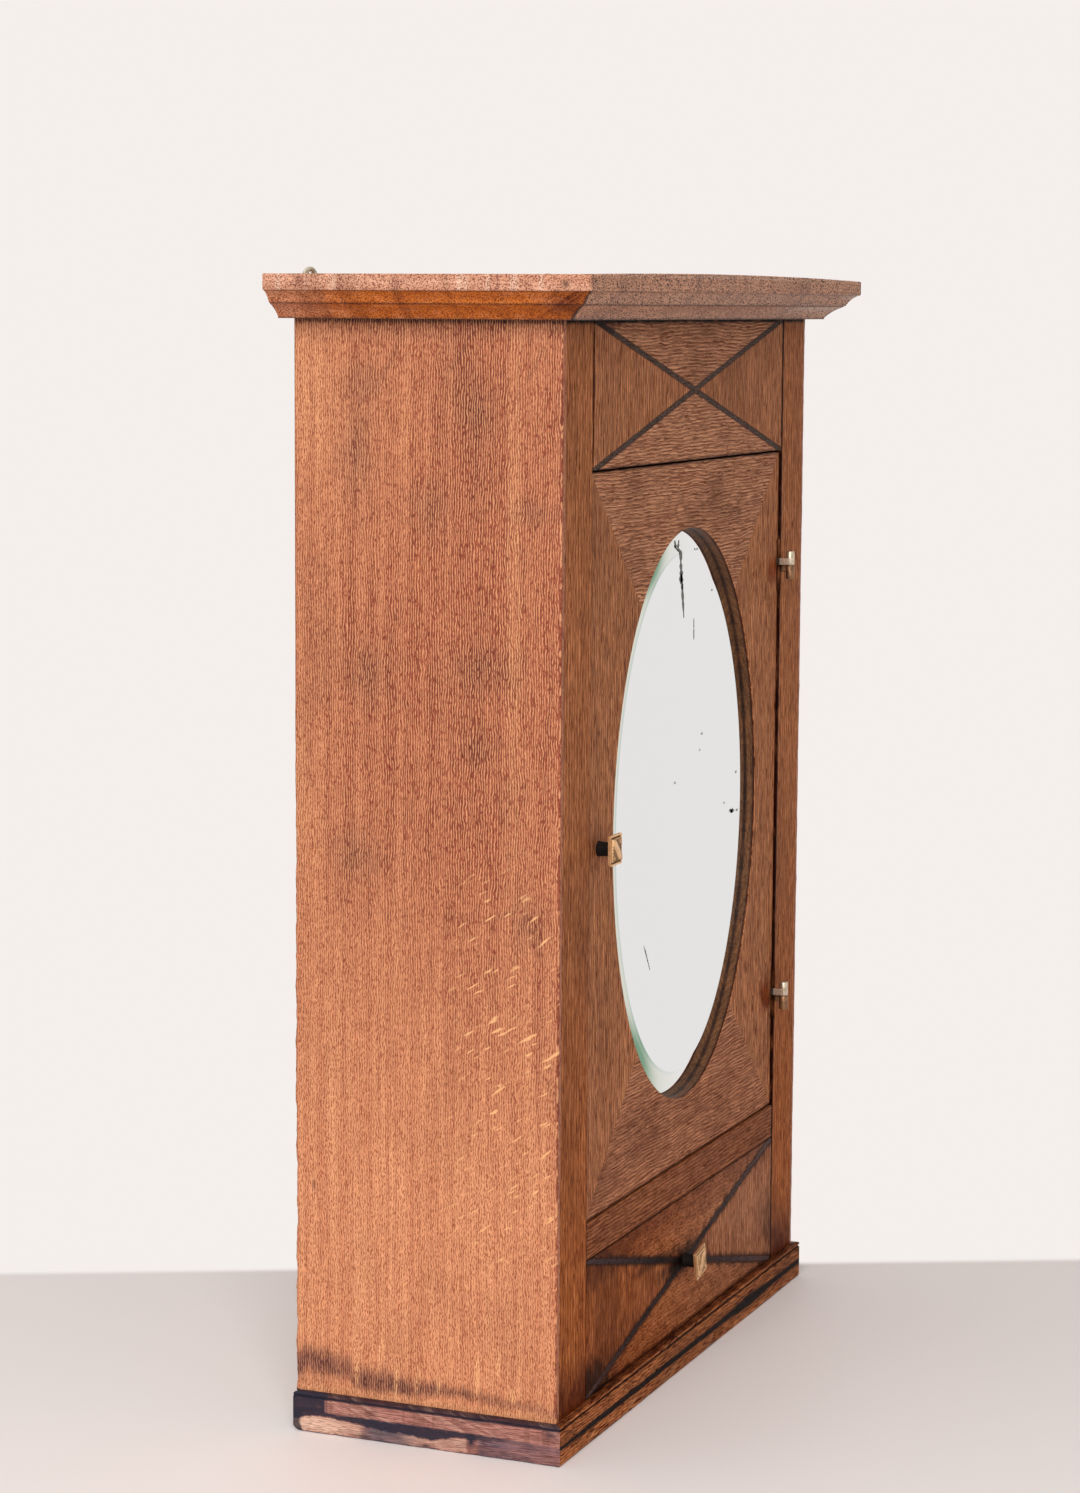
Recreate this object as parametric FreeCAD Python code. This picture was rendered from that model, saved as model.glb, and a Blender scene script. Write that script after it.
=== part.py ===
import FreeCAD, Part
import math
import os

from FreeCAD import Vector

# An oak medicine cabinet with an oval mirror door, a drawer below it and a moulded cornice and base.
# Millimetres. X runs to the right along the front, Y runs to the back, Z is up.
# The origin is on the floor below the middle of the whole cabinet.

# Carcase
carcase_width = 478.0
carcase_depth = 186.0
side_thickness = 16.0
side_lip = 5.0
back_lip = 8.0
back_thickness = 6.0
top_thickness = 16.0
bottom_thickness = 12.0
divider_thickness = 12.0
arris = 1.0

# Front, from the base upwards
stile_width = 51.0
front_thickness = 19.0
drawer_opening = 95.0
rail_height = 24.0
door_opening = 491.0
frieze_height = 95.0
veneer_thickness = 1.0
frieze_quirk = 1.8
stringing_width = 3.4

# Cornice, its profile from the top downwards
fascia_height = 10.4
soffit_fillet = 1.4
upper_run = 7.6
upper_fall = 7.8
cove_step = 1.0
cove_drop = 0.6
lower_run = 11.6
lower_fall = 8.2
cove_sag = 0.9
cornice_foot = 1.0
cornice_soffit = 10.9
cornice_bed = 24.0
cornice_back = 5.5
hanging_rail_thickness = 20.0

# Base, its profile from the floor upwards
base_face = 23.6
quirk_size = 0.8
bead_height = 2.6
base_overhang = 5.0
base_bed = 34.0
base_arris = 1.5
block_size = 24.0
block_height = 12.0
block_end_gap = 15.0

# Shelves
shelf_thickness = 12.0
lower_shelf_height = 164.0
upper_shelf_height = 152.0
shelf_setback = 16.0
batten_size = 12.0

# Door and mirror
door_recess = 1.6
door_setback = 2.0
door_gap = 1.5
door_stop_gap = 0.4
door_stop_length = 60.0
door_stop_inset = 18.0
door_stop_height = 24.0
door_stop_thickness = 12.0
door_stop_drop = 12.0
mirror_width = 285.0
mirror_height = 398.0
mirror_lip = 7.5
mirror_overlap = 7.5
mirror_play = 0.5
glass_thickness = 5.0
glass_edge = 2.5
bevel_width = 18.0
tab_length = 22.0
tab_width = 10.0
tab_thickness = 1.5
tab_spread = 180.0
tab_pair_spread = 150.0
tab_screw_radius = 1.2
tab_screw_length = 8.0
tab_head_radius = 2.4
tab_head_height = 1.3

# Lift-off hinges
hinge_inset = 83.0
hinge_proud = 8.0
knuckle_radius = 3.2
knuckle_height = 10.2
knuckle_gap = 0.4
pin_radius = 1.5
pin_clearance = 0.05
pin_length = 17.0
pin_end_gap = 0.6
leaf_thickness = 1.2
leaf_height = 38.0
leaf_depth = 14.0
neck_height = 7.0
hinge_screw_spacing = 22.0
hinge_screw_depth = 8.0
hinge_screw_radius = 1.2
hinge_screw_length = 12.0
hinge_screw_head = 2.3

# Ball catch in the closing edge of the door
catch_place = 0.7
catch_depth = 9.0
catch_barrel_radius = 4.5
catch_barrel_length = 15.0
catch_ball_radius = 3.2
catch_ball_proud = 0.9
catch_bore_clearance = 0.3
catch_bore_length = 11.0
strike_thickness = 1.0
strike_width = 12.0
strike_height = 26.0
strike_dimple = 0.5

# Knobs
knob_size = 20.0
knob_rim = 2.3
knob_border = 1.6
knob_crown = 2.0
knob_dome_radius = 60.0
knob_corner = 0.8
door_knob_place = 0.5
stem_length = 10.5
stem_flange_radius = 5.2
stem_flange_thickness = 1.6
stem_neck_radius = 4.7
shank_radius = 2.0
shank_length = 12.0
tenon_radius = 2.0
tenon_length = 1.2

# Drawer
drawer_gap = 1.0
drawer_lift = 0.5
drawer_side_thickness = 10.0
drawer_side_height = 72.0
drawer_rear_gap = 21.0
drawer_back_thickness = 9.0
drawer_bottom_thickness = 5.0
drawer_bottom_height = 6.0
drawer_groove = 4.0
guide_gap = 1.0
guide_height = 20.0

# Hanger plates
hanger_inset = 37.0
hanger_width = 25.0
hanger_thickness = 2.0
hanger_rise = 5.0
hanger_drop = 24.0
hanger_hole_radius = 4.0
hanger_hole_drop = 6.8
hanger_notch_radius = 6.0
hanger_screw_spread = 14.0
hanger_screw_rise = 6.0
hanger_screw_radius = 1.6
hanger_screw_length = 14.0
hanger_screw_head = 3.2

# Levels and planes that the pieces share
half_width = carcase_width / 2
inner_half = half_width - side_thickness
opening_half = half_width - stile_width

base_height = base_face + quirk_size + bead_height
cornice_height = fascia_height + upper_fall + cove_drop + lower_fall + cornice_foot
cornice_overhang = soffit_fillet + upper_run + cove_step + lower_run + cornice_soffit
rail_bottom = base_height + drawer_opening
rail_top = rail_bottom + rail_height
frieze_bottom = rail_top + door_opening
carcase_top = frieze_bottom + frieze_height
cornice_top = carcase_top + cornice_height

front = (cornice_overhang - carcase_depth - cornice_back - hanger_thickness) / 2
back = front + carcase_depth
rear = back + cornice_back
behind_front = front + front_thickness
before_back = back - back_thickness

door_left = -opening_half + door_gap
door_right = opening_half - door_gap
door_bottom = rail_top + door_gap
door_top = frieze_bottom - door_gap
door_middle = (door_bottom + door_top) / 2
door_face = front + door_recess
door_rear = behind_front - door_setback
board_front = front + veneer_thickness
door_board_front = door_face + veneer_thickness
hinge_x = opening_half - door_gap / 2
hinge_y = front - hinge_proud

rebate_width = mirror_width + 2 * mirror_overlap
rebate_height = mirror_height + 2 * mirror_overlap
catch_height = catch_place * rebate_height / 2
knob_inset = door_knob_place * (-rebate_width / 2 - door_left)

drawer_half = opening_half - drawer_gap
drawer_low = base_height + drawer_gap
drawer_high = rail_bottom - drawer_gap
drawer_middle = (drawer_low + drawer_high) / 2
drawer_length = before_back - behind_front - drawer_rear_gap

nodes = {}


def box(x, y, z):
    """A block between two planes on each axis."""
    return Part.makeBox(x[1] - x[0], y[1] - y[0], z[1] - z[0], Vector(x[0], y[0], z[0]))


def rod(radius, start, along):
    """A round bar from a start point along a vector."""
    return Part.makeCylinder(radius, along.Length, start, along)


def flat_prism(points, y):
    """An upright outline in X and Z, made solid between two planes across Y."""
    wire = Part.makePolygon([Vector(px, y[0], pz) for px, pz in points + points[:1]])
    return Part.Face(wire).extrude(Vector(0, y[1] - y[0], 0))


def plan_prism(points, z):
    """A flat outline in X and Y, made solid between two levels."""
    wire = Part.makePolygon([Vector(px, py, z[0]) for px, py in points + points[:1]])
    return Part.Face(wire).extrude(Vector(0, 0, z[1] - z[0]))


def oval_wire(width, height, y):
    """An ellipse round the middle of the door, in an upright plane."""
    centre = Vector(0, y, door_middle)
    upright = centre + Vector(0, 0, height / 2)
    level = centre + Vector(width / 2, 0, 0)
    ends = (upright, level) if height >= width else (level, upright)
    return Part.Wire([Part.Ellipse(ends[0], ends[1], centre).toShape()])


def oval(width, height, y):
    """A solid of elliptical section between two planes across Y."""
    return Part.Face(oval_wire(width, height, y[0])).extrude(Vector(0, y[1] - y[0], 0))


def countersunk_screw(radius, head_radius, head_height, length, seat, along):
    """A flat-headed screw whose head lies flush at the seat point."""
    head = Part.makeCone(head_radius, radius, head_height, seat, along)
    return head.fuse(rod(radius, seat, along * length)).removeSplitter()


def round_edges(shape, radius, chosen):
    """Rounds the edges whose middle point passes the test."""
    edges = [edge for edge in shape.Edges if chosen(edge.CenterOfMass)]
    return shape.makeFillet(radius, edges)


def near(a, b):
    return abs(a - b) < 1e-6


def profile_face(steps, place):
    """A moulding's section: straight steps, and arcs given by a middle and an end point."""
    edges = []
    last = place(*steps[0])
    for step in steps[1:]:
        end = place(*step[-2:])
        if len(step) == 4:
            edges.append(Part.Arc(last, place(*step[:2]), end).toShape())
        else:
            edges.append(Part.LineSegment(last, end).toShape())
        last = end
    return Part.Face(Part.Wire(edges))


def moulded_run(name, steps, overhang, bed, end):
    """The front and the two side lengths of a moulding, mitred at the front corners."""
    outer = half_width + overhang
    inner = half_width - bed
    levels = [step[-1] for step in steps]
    span = (min(levels), max(levels))
    face = profile_face(steps, lambda out, z: Vector(-outer, front - out, z))
    run = face.extrude(Vector(2 * outer, 0, 0))
    tip = front - overhang
    root = front + bed
    plan = [(-outer, tip), (outer, tip), (inner, root), (-inner, root)]
    nodes[name + "_front"] = run.common(plan_prism(plan, span))
    for side, word in ((-1, "_left"), (1, "_right")):
        face = profile_face(steps, lambda out, z: Vector(side * (half_width + out), tip, z))
        run = face.extrude(Vector(0, end - tip, 0))
        plan = [(side * outer, tip), (side * outer, end), (side * inner, end), (side * inner, root)]
        nodes[name + word] = run.common(plan_prism(plan, span))


def arc_point(centre, radius, degrees):
    angle = math.radians(degrees)
    return centre[0] + radius * math.cos(angle), centre[1] + radius * math.sin(angle)


def cove_middle(high, low):
    """Middle of a shallow cove, sunk square to the line between its two ends."""
    run = high[0] - low[0]
    fall = high[1] - low[1]
    chord = math.hypot(run, fall)
    return ((high[0] + low[0]) / 2 - cove_sag * fall / chord,
            (high[1] + low[1]) / 2 + cove_sag * run / chord)


def cornice():
    """Square fascia over two shallow coves, running round the front and both sides."""
    fascia_low = cornice_top - fascia_height
    upper_out = cornice_overhang - soffit_fillet
    upper_in = upper_out - upper_run
    upper_low = fascia_low - upper_fall
    lower_out = upper_in - cove_step
    lower_high = upper_low - cove_drop
    foot_out = lower_out - lower_run
    foot_high = lower_high - lower_fall
    upper_middle = cove_middle((upper_out, fascia_low), (upper_in, upper_low))
    lower_middle = cove_middle((lower_out, lower_high), (foot_out, foot_high))
    top_turn = arc_point((cornice_overhang - arris, cornice_top - arris), arris, 45)
    low_turn = arc_point((cornice_overhang - arris, fascia_low + arris), arris, -45)
    steps = [
        (-cornice_bed, carcase_top),
        (-cornice_bed, cornice_top),
        (cornice_overhang - arris, cornice_top),
        (*top_turn, cornice_overhang, cornice_top - arris),
        (cornice_overhang, fascia_low + arris),
        (*low_turn, cornice_overhang - arris, fascia_low),
        (upper_out, fascia_low),
        (*upper_middle, upper_in, upper_low),
        (lower_out, upper_low),
        (lower_out, lower_high),
        (*lower_middle, foot_out, foot_high),
        (foot_out, carcase_top),
        (-cornice_bed, carcase_top),
    ]
    moulded_run("cornice", steps, cornice_overhang, cornice_bed, rear)

    rail = box((-half_width + cornice_bed, half_width - cornice_bed), (rear - hanging_rail_thickness, rear),
               (carcase_top, cornice_top))
    for side in (-1, 1):
        rail = rail.cut(hanger_notch(side))
        for screw in hanger_screw_set(side):
            rail = rail.cut(screw)
    nodes["hanging_rail"] = rail


def base():
    """A plain upright face with a fine quirk above it and a bead along the ledge."""
    bead_low = base_face + quirk_size
    bead_in = base_overhang - bead_height / 2
    steps = [
        (-base_bed, 0),
        (base_overhang - base_arris, 0),
        (*arc_point((base_overhang - base_arris, base_arris), base_arris, -45), base_overhang, base_arris),
        (base_overhang, base_face),
        (base_overhang - quirk_size, base_face),
        (base_overhang - quirk_size, bead_low),
        (bead_in, bead_low),
        (*arc_point((bead_in, bead_low + bead_height / 2), bead_height / 2, 0), bead_in, base_height),
        (-base_bed, base_height),
        (-base_bed, 0),
    ]
    moulded_run("base", steps, base_overhang, base_bed, back)

    floor_half = half_width - base_bed
    floor_low = base_height - bottom_thickness
    nodes["bottom_board"] = box((-floor_half, floor_half), (front + base_bed, back), (floor_low, base_height))
    blocks = []
    for y in (front + base_bed + block_end_gap, back - block_end_gap - block_size):
        for side in (-1, 1):
            x = sorted((side * floor_half, side * (floor_half - block_size)))
            blocks.append(box(x, (y, y + block_size), (floor_low - block_height, floor_low)))
    nodes["glue_blocks"] = Part.makeCompound(blocks)


def carcase():
    """Sides rebated over the stiles in front and the back panel behind, with the boards between them."""
    for side, word in ((-1, "left"), (1, "right")):
        outer = side * half_width
        board = box(sorted((outer, side * inner_half)), (front, back), (base_height, carcase_top))
        stile_bed = sorted((side * (half_width - side_lip), side * inner_half))
        back_bed = sorted((side * (half_width - back_lip), side * inner_half))
        board = board.cut(box(stile_bed, (front, behind_front), (base_height, carcase_top)))
        board = board.cut(box(back_bed, (before_back, back), (base_height, carcase_top)))
        board = round_edges(board, arris, lambda p: near(p.x, outer) and near(p.y, front))
        nodes[word + "_side"] = board
        stile_x = sorted((side * (half_width - side_lip), side * opening_half))
        nodes[word + "_stile"] = box(stile_x, (front, behind_front), (base_height, carcase_top))

    between = (-inner_half, inner_half)
    depth = (behind_front, before_back)
    nodes["top_board"] = box(between, depth, (carcase_top - top_thickness, carcase_top))
    nodes["divider_board"] = box(between, depth, (rail_top - divider_thickness, rail_top))
    nodes["middle_rail"] = box((-opening_half, opening_half), (front, behind_front), (rail_bottom, rail_top))
    back_half = half_width - back_lip
    nodes["back_panel"] = box((-back_half, back_half), (before_back, back), (base_height, carcase_top))

    shelf_front = behind_front + shelf_setback
    battens = []
    level = rail_top
    for word, clear in (("lower_shelf", lower_shelf_height), ("upper_shelf", upper_shelf_height)):
        level += clear
        nodes[word] = box(between, (shelf_front, before_back), (level, level + shelf_thickness))
        for side in (-1, 1):
            x = sorted((side * inner_half, side * (inner_half - batten_size)))
            battens.append(box(x, (shelf_front, before_back), (level - batten_size, level)))
        level += shelf_thickness
    nodes["shelf_battens"] = Part.makeCompound(battens)


def crossed_veneer(name, half, z, board_name):
    """Four veneer triangles parted by a dark stringing cross, laid on the front of a board."""
    sheet = box((-half, half), (front, board_front), z)
    height = z[1] - z[0]
    middle = Vector(0, front, (z[0] + z[1]) / 2)
    length = 2 * half + height
    bars = []
    for sign in (-1, 1):
        bar = box((-length / 2, length / 2), (0, veneer_thickness),
                  (-stringing_width / 2, stringing_width / 2))
        bar.rotate(Vector(0, 0, 0), Vector(0, 1, 0), sign * math.degrees(math.atan2(height, 2 * half)))
        bar.translate(middle)
        bars.append(bar)
    strips = sheet.common(bars[0]).Solids + sheet.common(bars[1]).cut(bars[0]).Solids
    nodes[board_name + "_stringing"] = Part.makeCompound(strips)
    pieces = sheet.cut(bars[0]).cut(bars[1]).Solids
    by_x = sorted(pieces, key=lambda piece: piece.CenterOfMass.x)
    by_z = sorted(pieces, key=lambda piece: piece.CenterOfMass.z)
    nodes[name + "_sides"] = Part.makeCompound([by_x[0], by_x[-1]])
    nodes[name + "_ends"] = Part.makeCompound([by_z[0], by_z[-1]])


def frieze():
    """The fixed board over the door, with its crossed veneer and the stops that the door closes on."""
    board_rear = door_rear + door_stop_gap
    nodes["frieze_board"] = box((-opening_half, opening_half), (board_front, board_rear),
                                (frieze_bottom, carcase_top))
    crossed_veneer("frieze_veneer", opening_half - frieze_quirk, (frieze_bottom, carcase_top), "frieze")
    stop_low = frieze_bottom - door_stop_drop
    stop_out = opening_half - door_stop_inset
    stops = []
    for side in (-1, 1):
        x = sorted((side * stop_out, side * (stop_out - door_stop_length)))
        stops.append(box(x, (board_rear, board_rear + door_stop_thickness),
                         (stop_low, stop_low + door_stop_height)))
    nodes["door_stops"] = Part.makeCompound(stops)


def door():
    """The door board with its four mitred veneers, the bevelled oval mirror and the mirror's backing."""
    board = box((door_left, door_right), (door_board_front, door_rear), (door_bottom, door_top))
    opening = oval(mirror_width, mirror_height, (door_face, door_rear))
    lip_rear = door_face + mirror_lip
    board = board.cut(opening).cut(oval(rebate_width, rebate_height, (lip_rear, door_rear)))
    nodes["door_board"] = board

    middle_x = (door_left + door_right) / 2
    mitre = middle_x - door_left
    left = [(door_left, door_bottom), (door_left, door_top), (middle_x, door_top - mitre),
            (middle_x, door_bottom + mitre)]
    outlines = {
        "left": left,
        "right": [(2 * middle_x - x, z) for x, z in left],
        "top": [(door_left, door_top), (door_right, door_top), (middle_x, door_top - mitre)],
        "bottom": [(door_left, door_bottom), (door_right, door_bottom), (middle_x, door_bottom + mitre)],
    }
    for word, points in outlines.items():
        nodes["door_veneer_" + word] = flat_prism(points, (door_face, door_board_front)).cut(opening)

    glass_width = rebate_width - 2 * mirror_play
    glass_height = rebate_height - 2 * mirror_play
    glass_rear = lip_rear + glass_edge
    glass_face = glass_rear - glass_thickness
    plate = oval(glass_width, glass_height, (lip_rear, glass_rear))
    rims = [oval_wire(mirror_width - 2 * inset, mirror_height - 2 * inset, y)
            for inset, y in ((mirror_play, lip_rear), (mirror_play + bevel_width, glass_face))]
    nodes["mirror_glass"] = plate.fuse(Part.makeLoft(rims, True, True))
    nodes["mirror_backing"] = oval(glass_width, glass_height, (glass_rear, door_rear))

    tabs = []
    screws = []
    rebate_edge = rebate_width / 2 * math.sqrt(1 - (tab_spread / rebate_height) ** 2)
    spots = [(side * rebate_edge, rise * tab_spread / 2, side, 0) for side in (-1, 1) for rise in (-1, 1)]
    pair_edge = rebate_height / 2 * math.sqrt(1 - (tab_pair_spread / rebate_width) ** 2)
    spots += [(side * tab_pair_spread / 2, rise * pair_edge, 0, rise) for side in (-1, 1) for rise in (-1, 1)]
    tab_rear = door_rear + tab_thickness
    for x, rise, way_x, way_z in spots:
        reach_x = (tab_length if way_x else tab_width) / 2
        reach_z = (tab_length if way_z else tab_width) / 2
        z = door_middle + rise
        tab = box((x - reach_x, x + reach_x), (door_rear, tab_rear), (z - reach_z, z + reach_z))
        seat = Vector(x + way_x * tab_length / 4, tab_rear, z + way_z * tab_length / 4)
        head = rod(tab_head_radius, seat, Vector(0, tab_head_height, 0))
        shank = rod(tab_screw_radius, seat, Vector(0, -tab_screw_length, 0))
        tabs.append(tab.cut(shank))
        screws.append(head.fuse(shank).removeSplitter())
        nodes["door_board"] = nodes["door_board"].cut(shank)
    nodes["mirror_tabs"] = Part.makeCompound(tabs)
    nodes["mirror_tab_screws"] = Part.makeCompound(screws)


def hinges():
    """Two lift-off hinges with knuckles clear of the front, one leaf on the door and one on the stile."""
    plates = {"door": [], "frame": []}
    screws = {"door": [], "frame": []}
    faces = {"door": door_face, "frame": front}
    pins = []
    for level in (door_bottom + hinge_inset, door_top - hinge_inset):
        axis = Vector(hinge_x, hinge_y, level)
        pin_foot = axis - Vector(0, 0, knuckle_height)
        pin = rod(pin_radius, pin_foot, Vector(0, 0, pin_length))
        pins.append(pin)
        socket = rod(pin_radius + pin_clearance, pin_foot, Vector(0, 0, pin_length + pin_end_gap))
        sockets = {"door": socket, "frame": pin}
        for word, side, rise in (("door", -1, 1), ("frame", 1, -1)):
            edge = hinge_x + side * door_gap / 2
            plate_x = sorted((edge, edge + side * leaf_thickness))
            plate = box(plate_x, (faces[word], front + leaf_depth),
                        (level - leaf_height / 2, level + leaf_height / 2))
            near_end = level + rise * knuckle_gap / 2
            far_end = level + rise * knuckle_height
            neck_end = near_end + rise * neck_height
            neck = box(plate_x, (hinge_y, faces[word]), sorted((near_end, neck_end)))
            knuckle = rod(knuckle_radius, axis + Vector(0, 0, near_end - level),
                          Vector(0, 0, far_end - near_end))
            leaf = plate.fuse(neck).fuse(knuckle).removeSplitter().cut(sockets[word])
            host = "door_board" if word == "door" else "right_stile"
            nodes[host] = nodes[host].cut(plate)
            if word == "door":
                nodes["door_veneer_right"] = nodes["door_veneer_right"].cut(plate)
            for way in (-1, 1):
                seat = Vector(edge, front + hinge_screw_depth, level + way * hinge_screw_spacing / 2)
                screw = countersunk_screw(hinge_screw_radius, hinge_screw_head, leaf_thickness,
                                          hinge_screw_length, seat, Vector(side, 0, 0))
                screws[word].append(screw)
                leaf = leaf.cut(screw)
                nodes[host] = nodes[host].cut(screw)
            plates[word].append(leaf)
    nodes["hinge_pins"] = Part.makeCompound(pins)
    for word in ("door", "frame"):
        nodes["hinge_" + word + "_leaves"] = Part.makeCompound(plates[word])
        nodes["hinge_" + word + "_screws"] = Part.makeCompound(screws[word])


def ball_catch():
    """A sprung ball in a barrel let into the closing edge of the door, and its strike on the stile."""
    level = door_middle - catch_height
    mouth = Vector(door_left, front + catch_depth, level)
    inward = Vector(1, 0, 0)
    barrel = rod(catch_barrel_radius, mouth, inward * catch_barrel_length)
    nodes["door_board"] = nodes["door_board"].cut(barrel)
    bore = rod(catch_ball_radius + catch_bore_clearance, mouth, inward * catch_bore_length)
    nodes["catch_barrel"] = barrel.cut(bore)
    ball_centre = mouth + inward * (catch_ball_radius - catch_ball_proud)
    nodes["catch_ball"] = Part.makeSphere(catch_ball_radius, ball_centre)
    strike_x = (-opening_half - strike_thickness, -opening_half)
    strike = box(strike_x, (mouth.y - strike_width / 2, mouth.y + strike_width / 2),
                 (level - strike_height / 2, level + strike_height / 2))
    nodes["left_stile"] = nodes["left_stile"].cut(strike)
    dimple_centre = Vector(-opening_half - strike_dimple + catch_ball_radius, mouth.y, level)
    nodes["strike_plate"] = strike.cut(Part.makeSphere(catch_ball_radius, dimple_centre))


def knob(name, face, hosts):
    """A square brass head on a dark turned stem, screwed into the board behind the face point."""
    out = Vector(0, -1, 0)
    flange_turn = stem_length - stem_flange_thickness
    outline = [
        (0, 0),
        (stem_flange_radius, 0),
        (stem_flange_radius, stem_flange_thickness),
        (stem_neck_radius, 2 * stem_flange_thickness),
        (stem_neck_radius, flange_turn - stem_flange_thickness),
        (stem_flange_radius, flange_turn),
        (stem_flange_radius, stem_length),
        (0, stem_length),
        (0, 0),
    ]
    wire = Part.makePolygon([face + Vector(radius, -rise, 0) for radius, rise in outline])
    stem = Part.Face(wire).revolve(face, Vector(0, 1, 0), 360)
    tenon = rod(tenon_radius, face + out * stem_length, out * tenon_length)
    shank = rod(shank_radius, face, Vector(0, shank_length, 0))
    nodes[name + "_stem"] = stem.fuse(tenon).fuse(shank).removeSplitter()
    for host in hosts:
        nodes[host] = nodes[host].cut(shank)

    x, z = face.x, face.z
    seat = face.y - stem_length
    rim_face = seat - knob_rim
    half = knob_size / 2
    plate = box((x - half, x + half), (rim_face, seat), (z - half, z + half))
    plate = round_edges(plate, knob_corner, lambda p: near(abs(p.x - x), half) and near(abs(p.z - z), half))
    field = half - knob_border
    crown = box((x - field, x + field), (rim_face - knob_crown, rim_face), (z - field, z + field))
    dome = Part.makeSphere(knob_dome_radius, Vector(x, rim_face - knob_crown + knob_dome_radius, z))
    nodes[name + "_head"] = plate.fuse(crown.common(dome)).cut(tenon)


def drawer():
    """A drawer box on the bottom board, held between two guides, with a crossed veneer front."""
    box_low = base_height + drawer_lift
    box_high = box_low + drawer_side_height
    box_rear = behind_front + drawer_length
    side_out = drawer_half
    side_in = side_out - drawer_side_thickness
    floor_low = box_low + drawer_bottom_height
    back_front = box_rear - drawer_back_thickness
    floor = box((-side_in - drawer_groove, side_in + drawer_groove),
                (behind_front - drawer_groove, back_front),
                (floor_low, floor_low + drawer_bottom_thickness))
    nodes["drawer_bottom"] = floor
    front_board = box((-drawer_half, drawer_half), (board_front, behind_front), (drawer_low, drawer_high))
    nodes["drawer_front"] = front_board.cut(floor)
    crossed_veneer("drawer_veneer", drawer_half, (drawer_low, drawer_high), "drawer")
    for side, word in ((-1, "left"), (1, "right")):
        x = sorted((side * side_out, side * side_in))
        board = box(x, (behind_front, box_rear), (box_low, box_high))
        nodes["drawer_" + word + "_side"] = board.cut(floor)
    nodes["drawer_back"] = box((-side_in, side_in), (back_front, box_rear), (floor_low, box_high))

    guides = []
    for side in (-1, 1):
        x = sorted((side * inner_half, side * (drawer_half + guide_gap)))
        guides.append(box(x, (behind_front, before_back), (base_height, base_height + guide_height)))
    nodes["drawer_guides"] = Part.makeCompound(guides)


def hanger_hole(side):
    """The centre of a hanger plate's hole, on the plate's wall side."""
    return Vector(side * (half_width - hanger_inset), rear + hanger_thickness,
                  cornice_top + hanger_rise - hanger_hole_drop)


def hanger_notch(side):
    """Room for a hook's point behind a hanger plate, open at the top of the rail."""
    hole = hanger_hole(side)
    room = rod(hanger_notch_radius, hole, Vector(0, -hanger_thickness - hanging_rail_thickness, 0))
    slot = box((hole.x - hanger_notch_radius, hole.x + hanger_notch_radius),
               (rear - hanging_rail_thickness, hole.y), (hole.z, cornice_top + hanger_rise))
    return room.fuse(slot)


def hanger_screw_set(side):
    """The two screws that hold a hanger plate to the rail."""
    x = side * (half_width - hanger_inset)
    z = cornice_top - hanger_drop + hanger_screw_rise
    return [countersunk_screw(hanger_screw_radius, hanger_screw_head, hanger_thickness, hanger_screw_length,
                              Vector(x + way * hanger_screw_spread / 2, rear + hanger_thickness, z),
                              Vector(0, -1, 0)) for way in (-1, 1)]


def hangers():
    """Two round-topped steel plates that stand a little above the cornice."""
    screws = []
    for side, word in ((-1, "left"), (1, "right")):
        hole = hanger_hole(side)
        radius = hanger_width / 2
        round_centre = Vector(hole.x, rear, cornice_top + hanger_rise - radius)
        thick = Vector(0, hanger_thickness, 0)
        plate = box((hole.x - radius, hole.x + radius), (rear, rear + hanger_thickness),
                    (cornice_top - hanger_drop, round_centre.z))
        plate = plate.fuse(rod(radius, round_centre, thick)).removeSplitter()
        plate = plate.cut(rod(hanger_hole_radius, hole, -thick))
        for screw in hanger_screw_set(side):
            plate = plate.cut(screw)
            screws.append(screw)
        nodes[word + "_hanger"] = plate
    nodes["hanger_screws"] = Part.makeCompound(screws)


carcase()
cornice()
base()
frieze()
door()
hinges()
ball_catch()
drawer()
knob("door_knob", Vector(door_left + knob_inset, door_face, door_middle), ("door_board", "door_veneer_left"))
knob("drawer_knob", Vector(0, front, drawer_middle),
     ("drawer_front", "drawer_stringing", "drawer_veneer_ends"))
hangers()

os.makedirs("parts", exist_ok=True)
for name, shape in nodes.items():
    shape.exportStep("parts/" + name + ".step")
    print(name, len(shape.Solids), shape.isValid(), round(shape.Volume))
print(len(nodes), "nodes; front at", front, "hinge axis at", hinge_x, hinge_y, "cornice top at", cornice_top)
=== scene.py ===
# %% [markdown]
# # An old oak medicine cabinet
#
# This lesson dresses a medicine cabinet that has already been constructed: every board, hinge and screw is
# in its place, and here each one gets its real surface. Some flat pieces, such as the veneers, keep their
# constructed form and only need a good material. Others, such as the mouldings, the knobs and the mirror, are
# built again as finer surfaces, each from a short formula.
#
# The cell below loads the constructed pieces. Their own sizes are used all through the lesson, so the new
# surfaces always fit on the old ones.

# %% Load the frame
import math

import bmesh
import bpy
import numpy as np
from mathutils import Matrix, Vector


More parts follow.
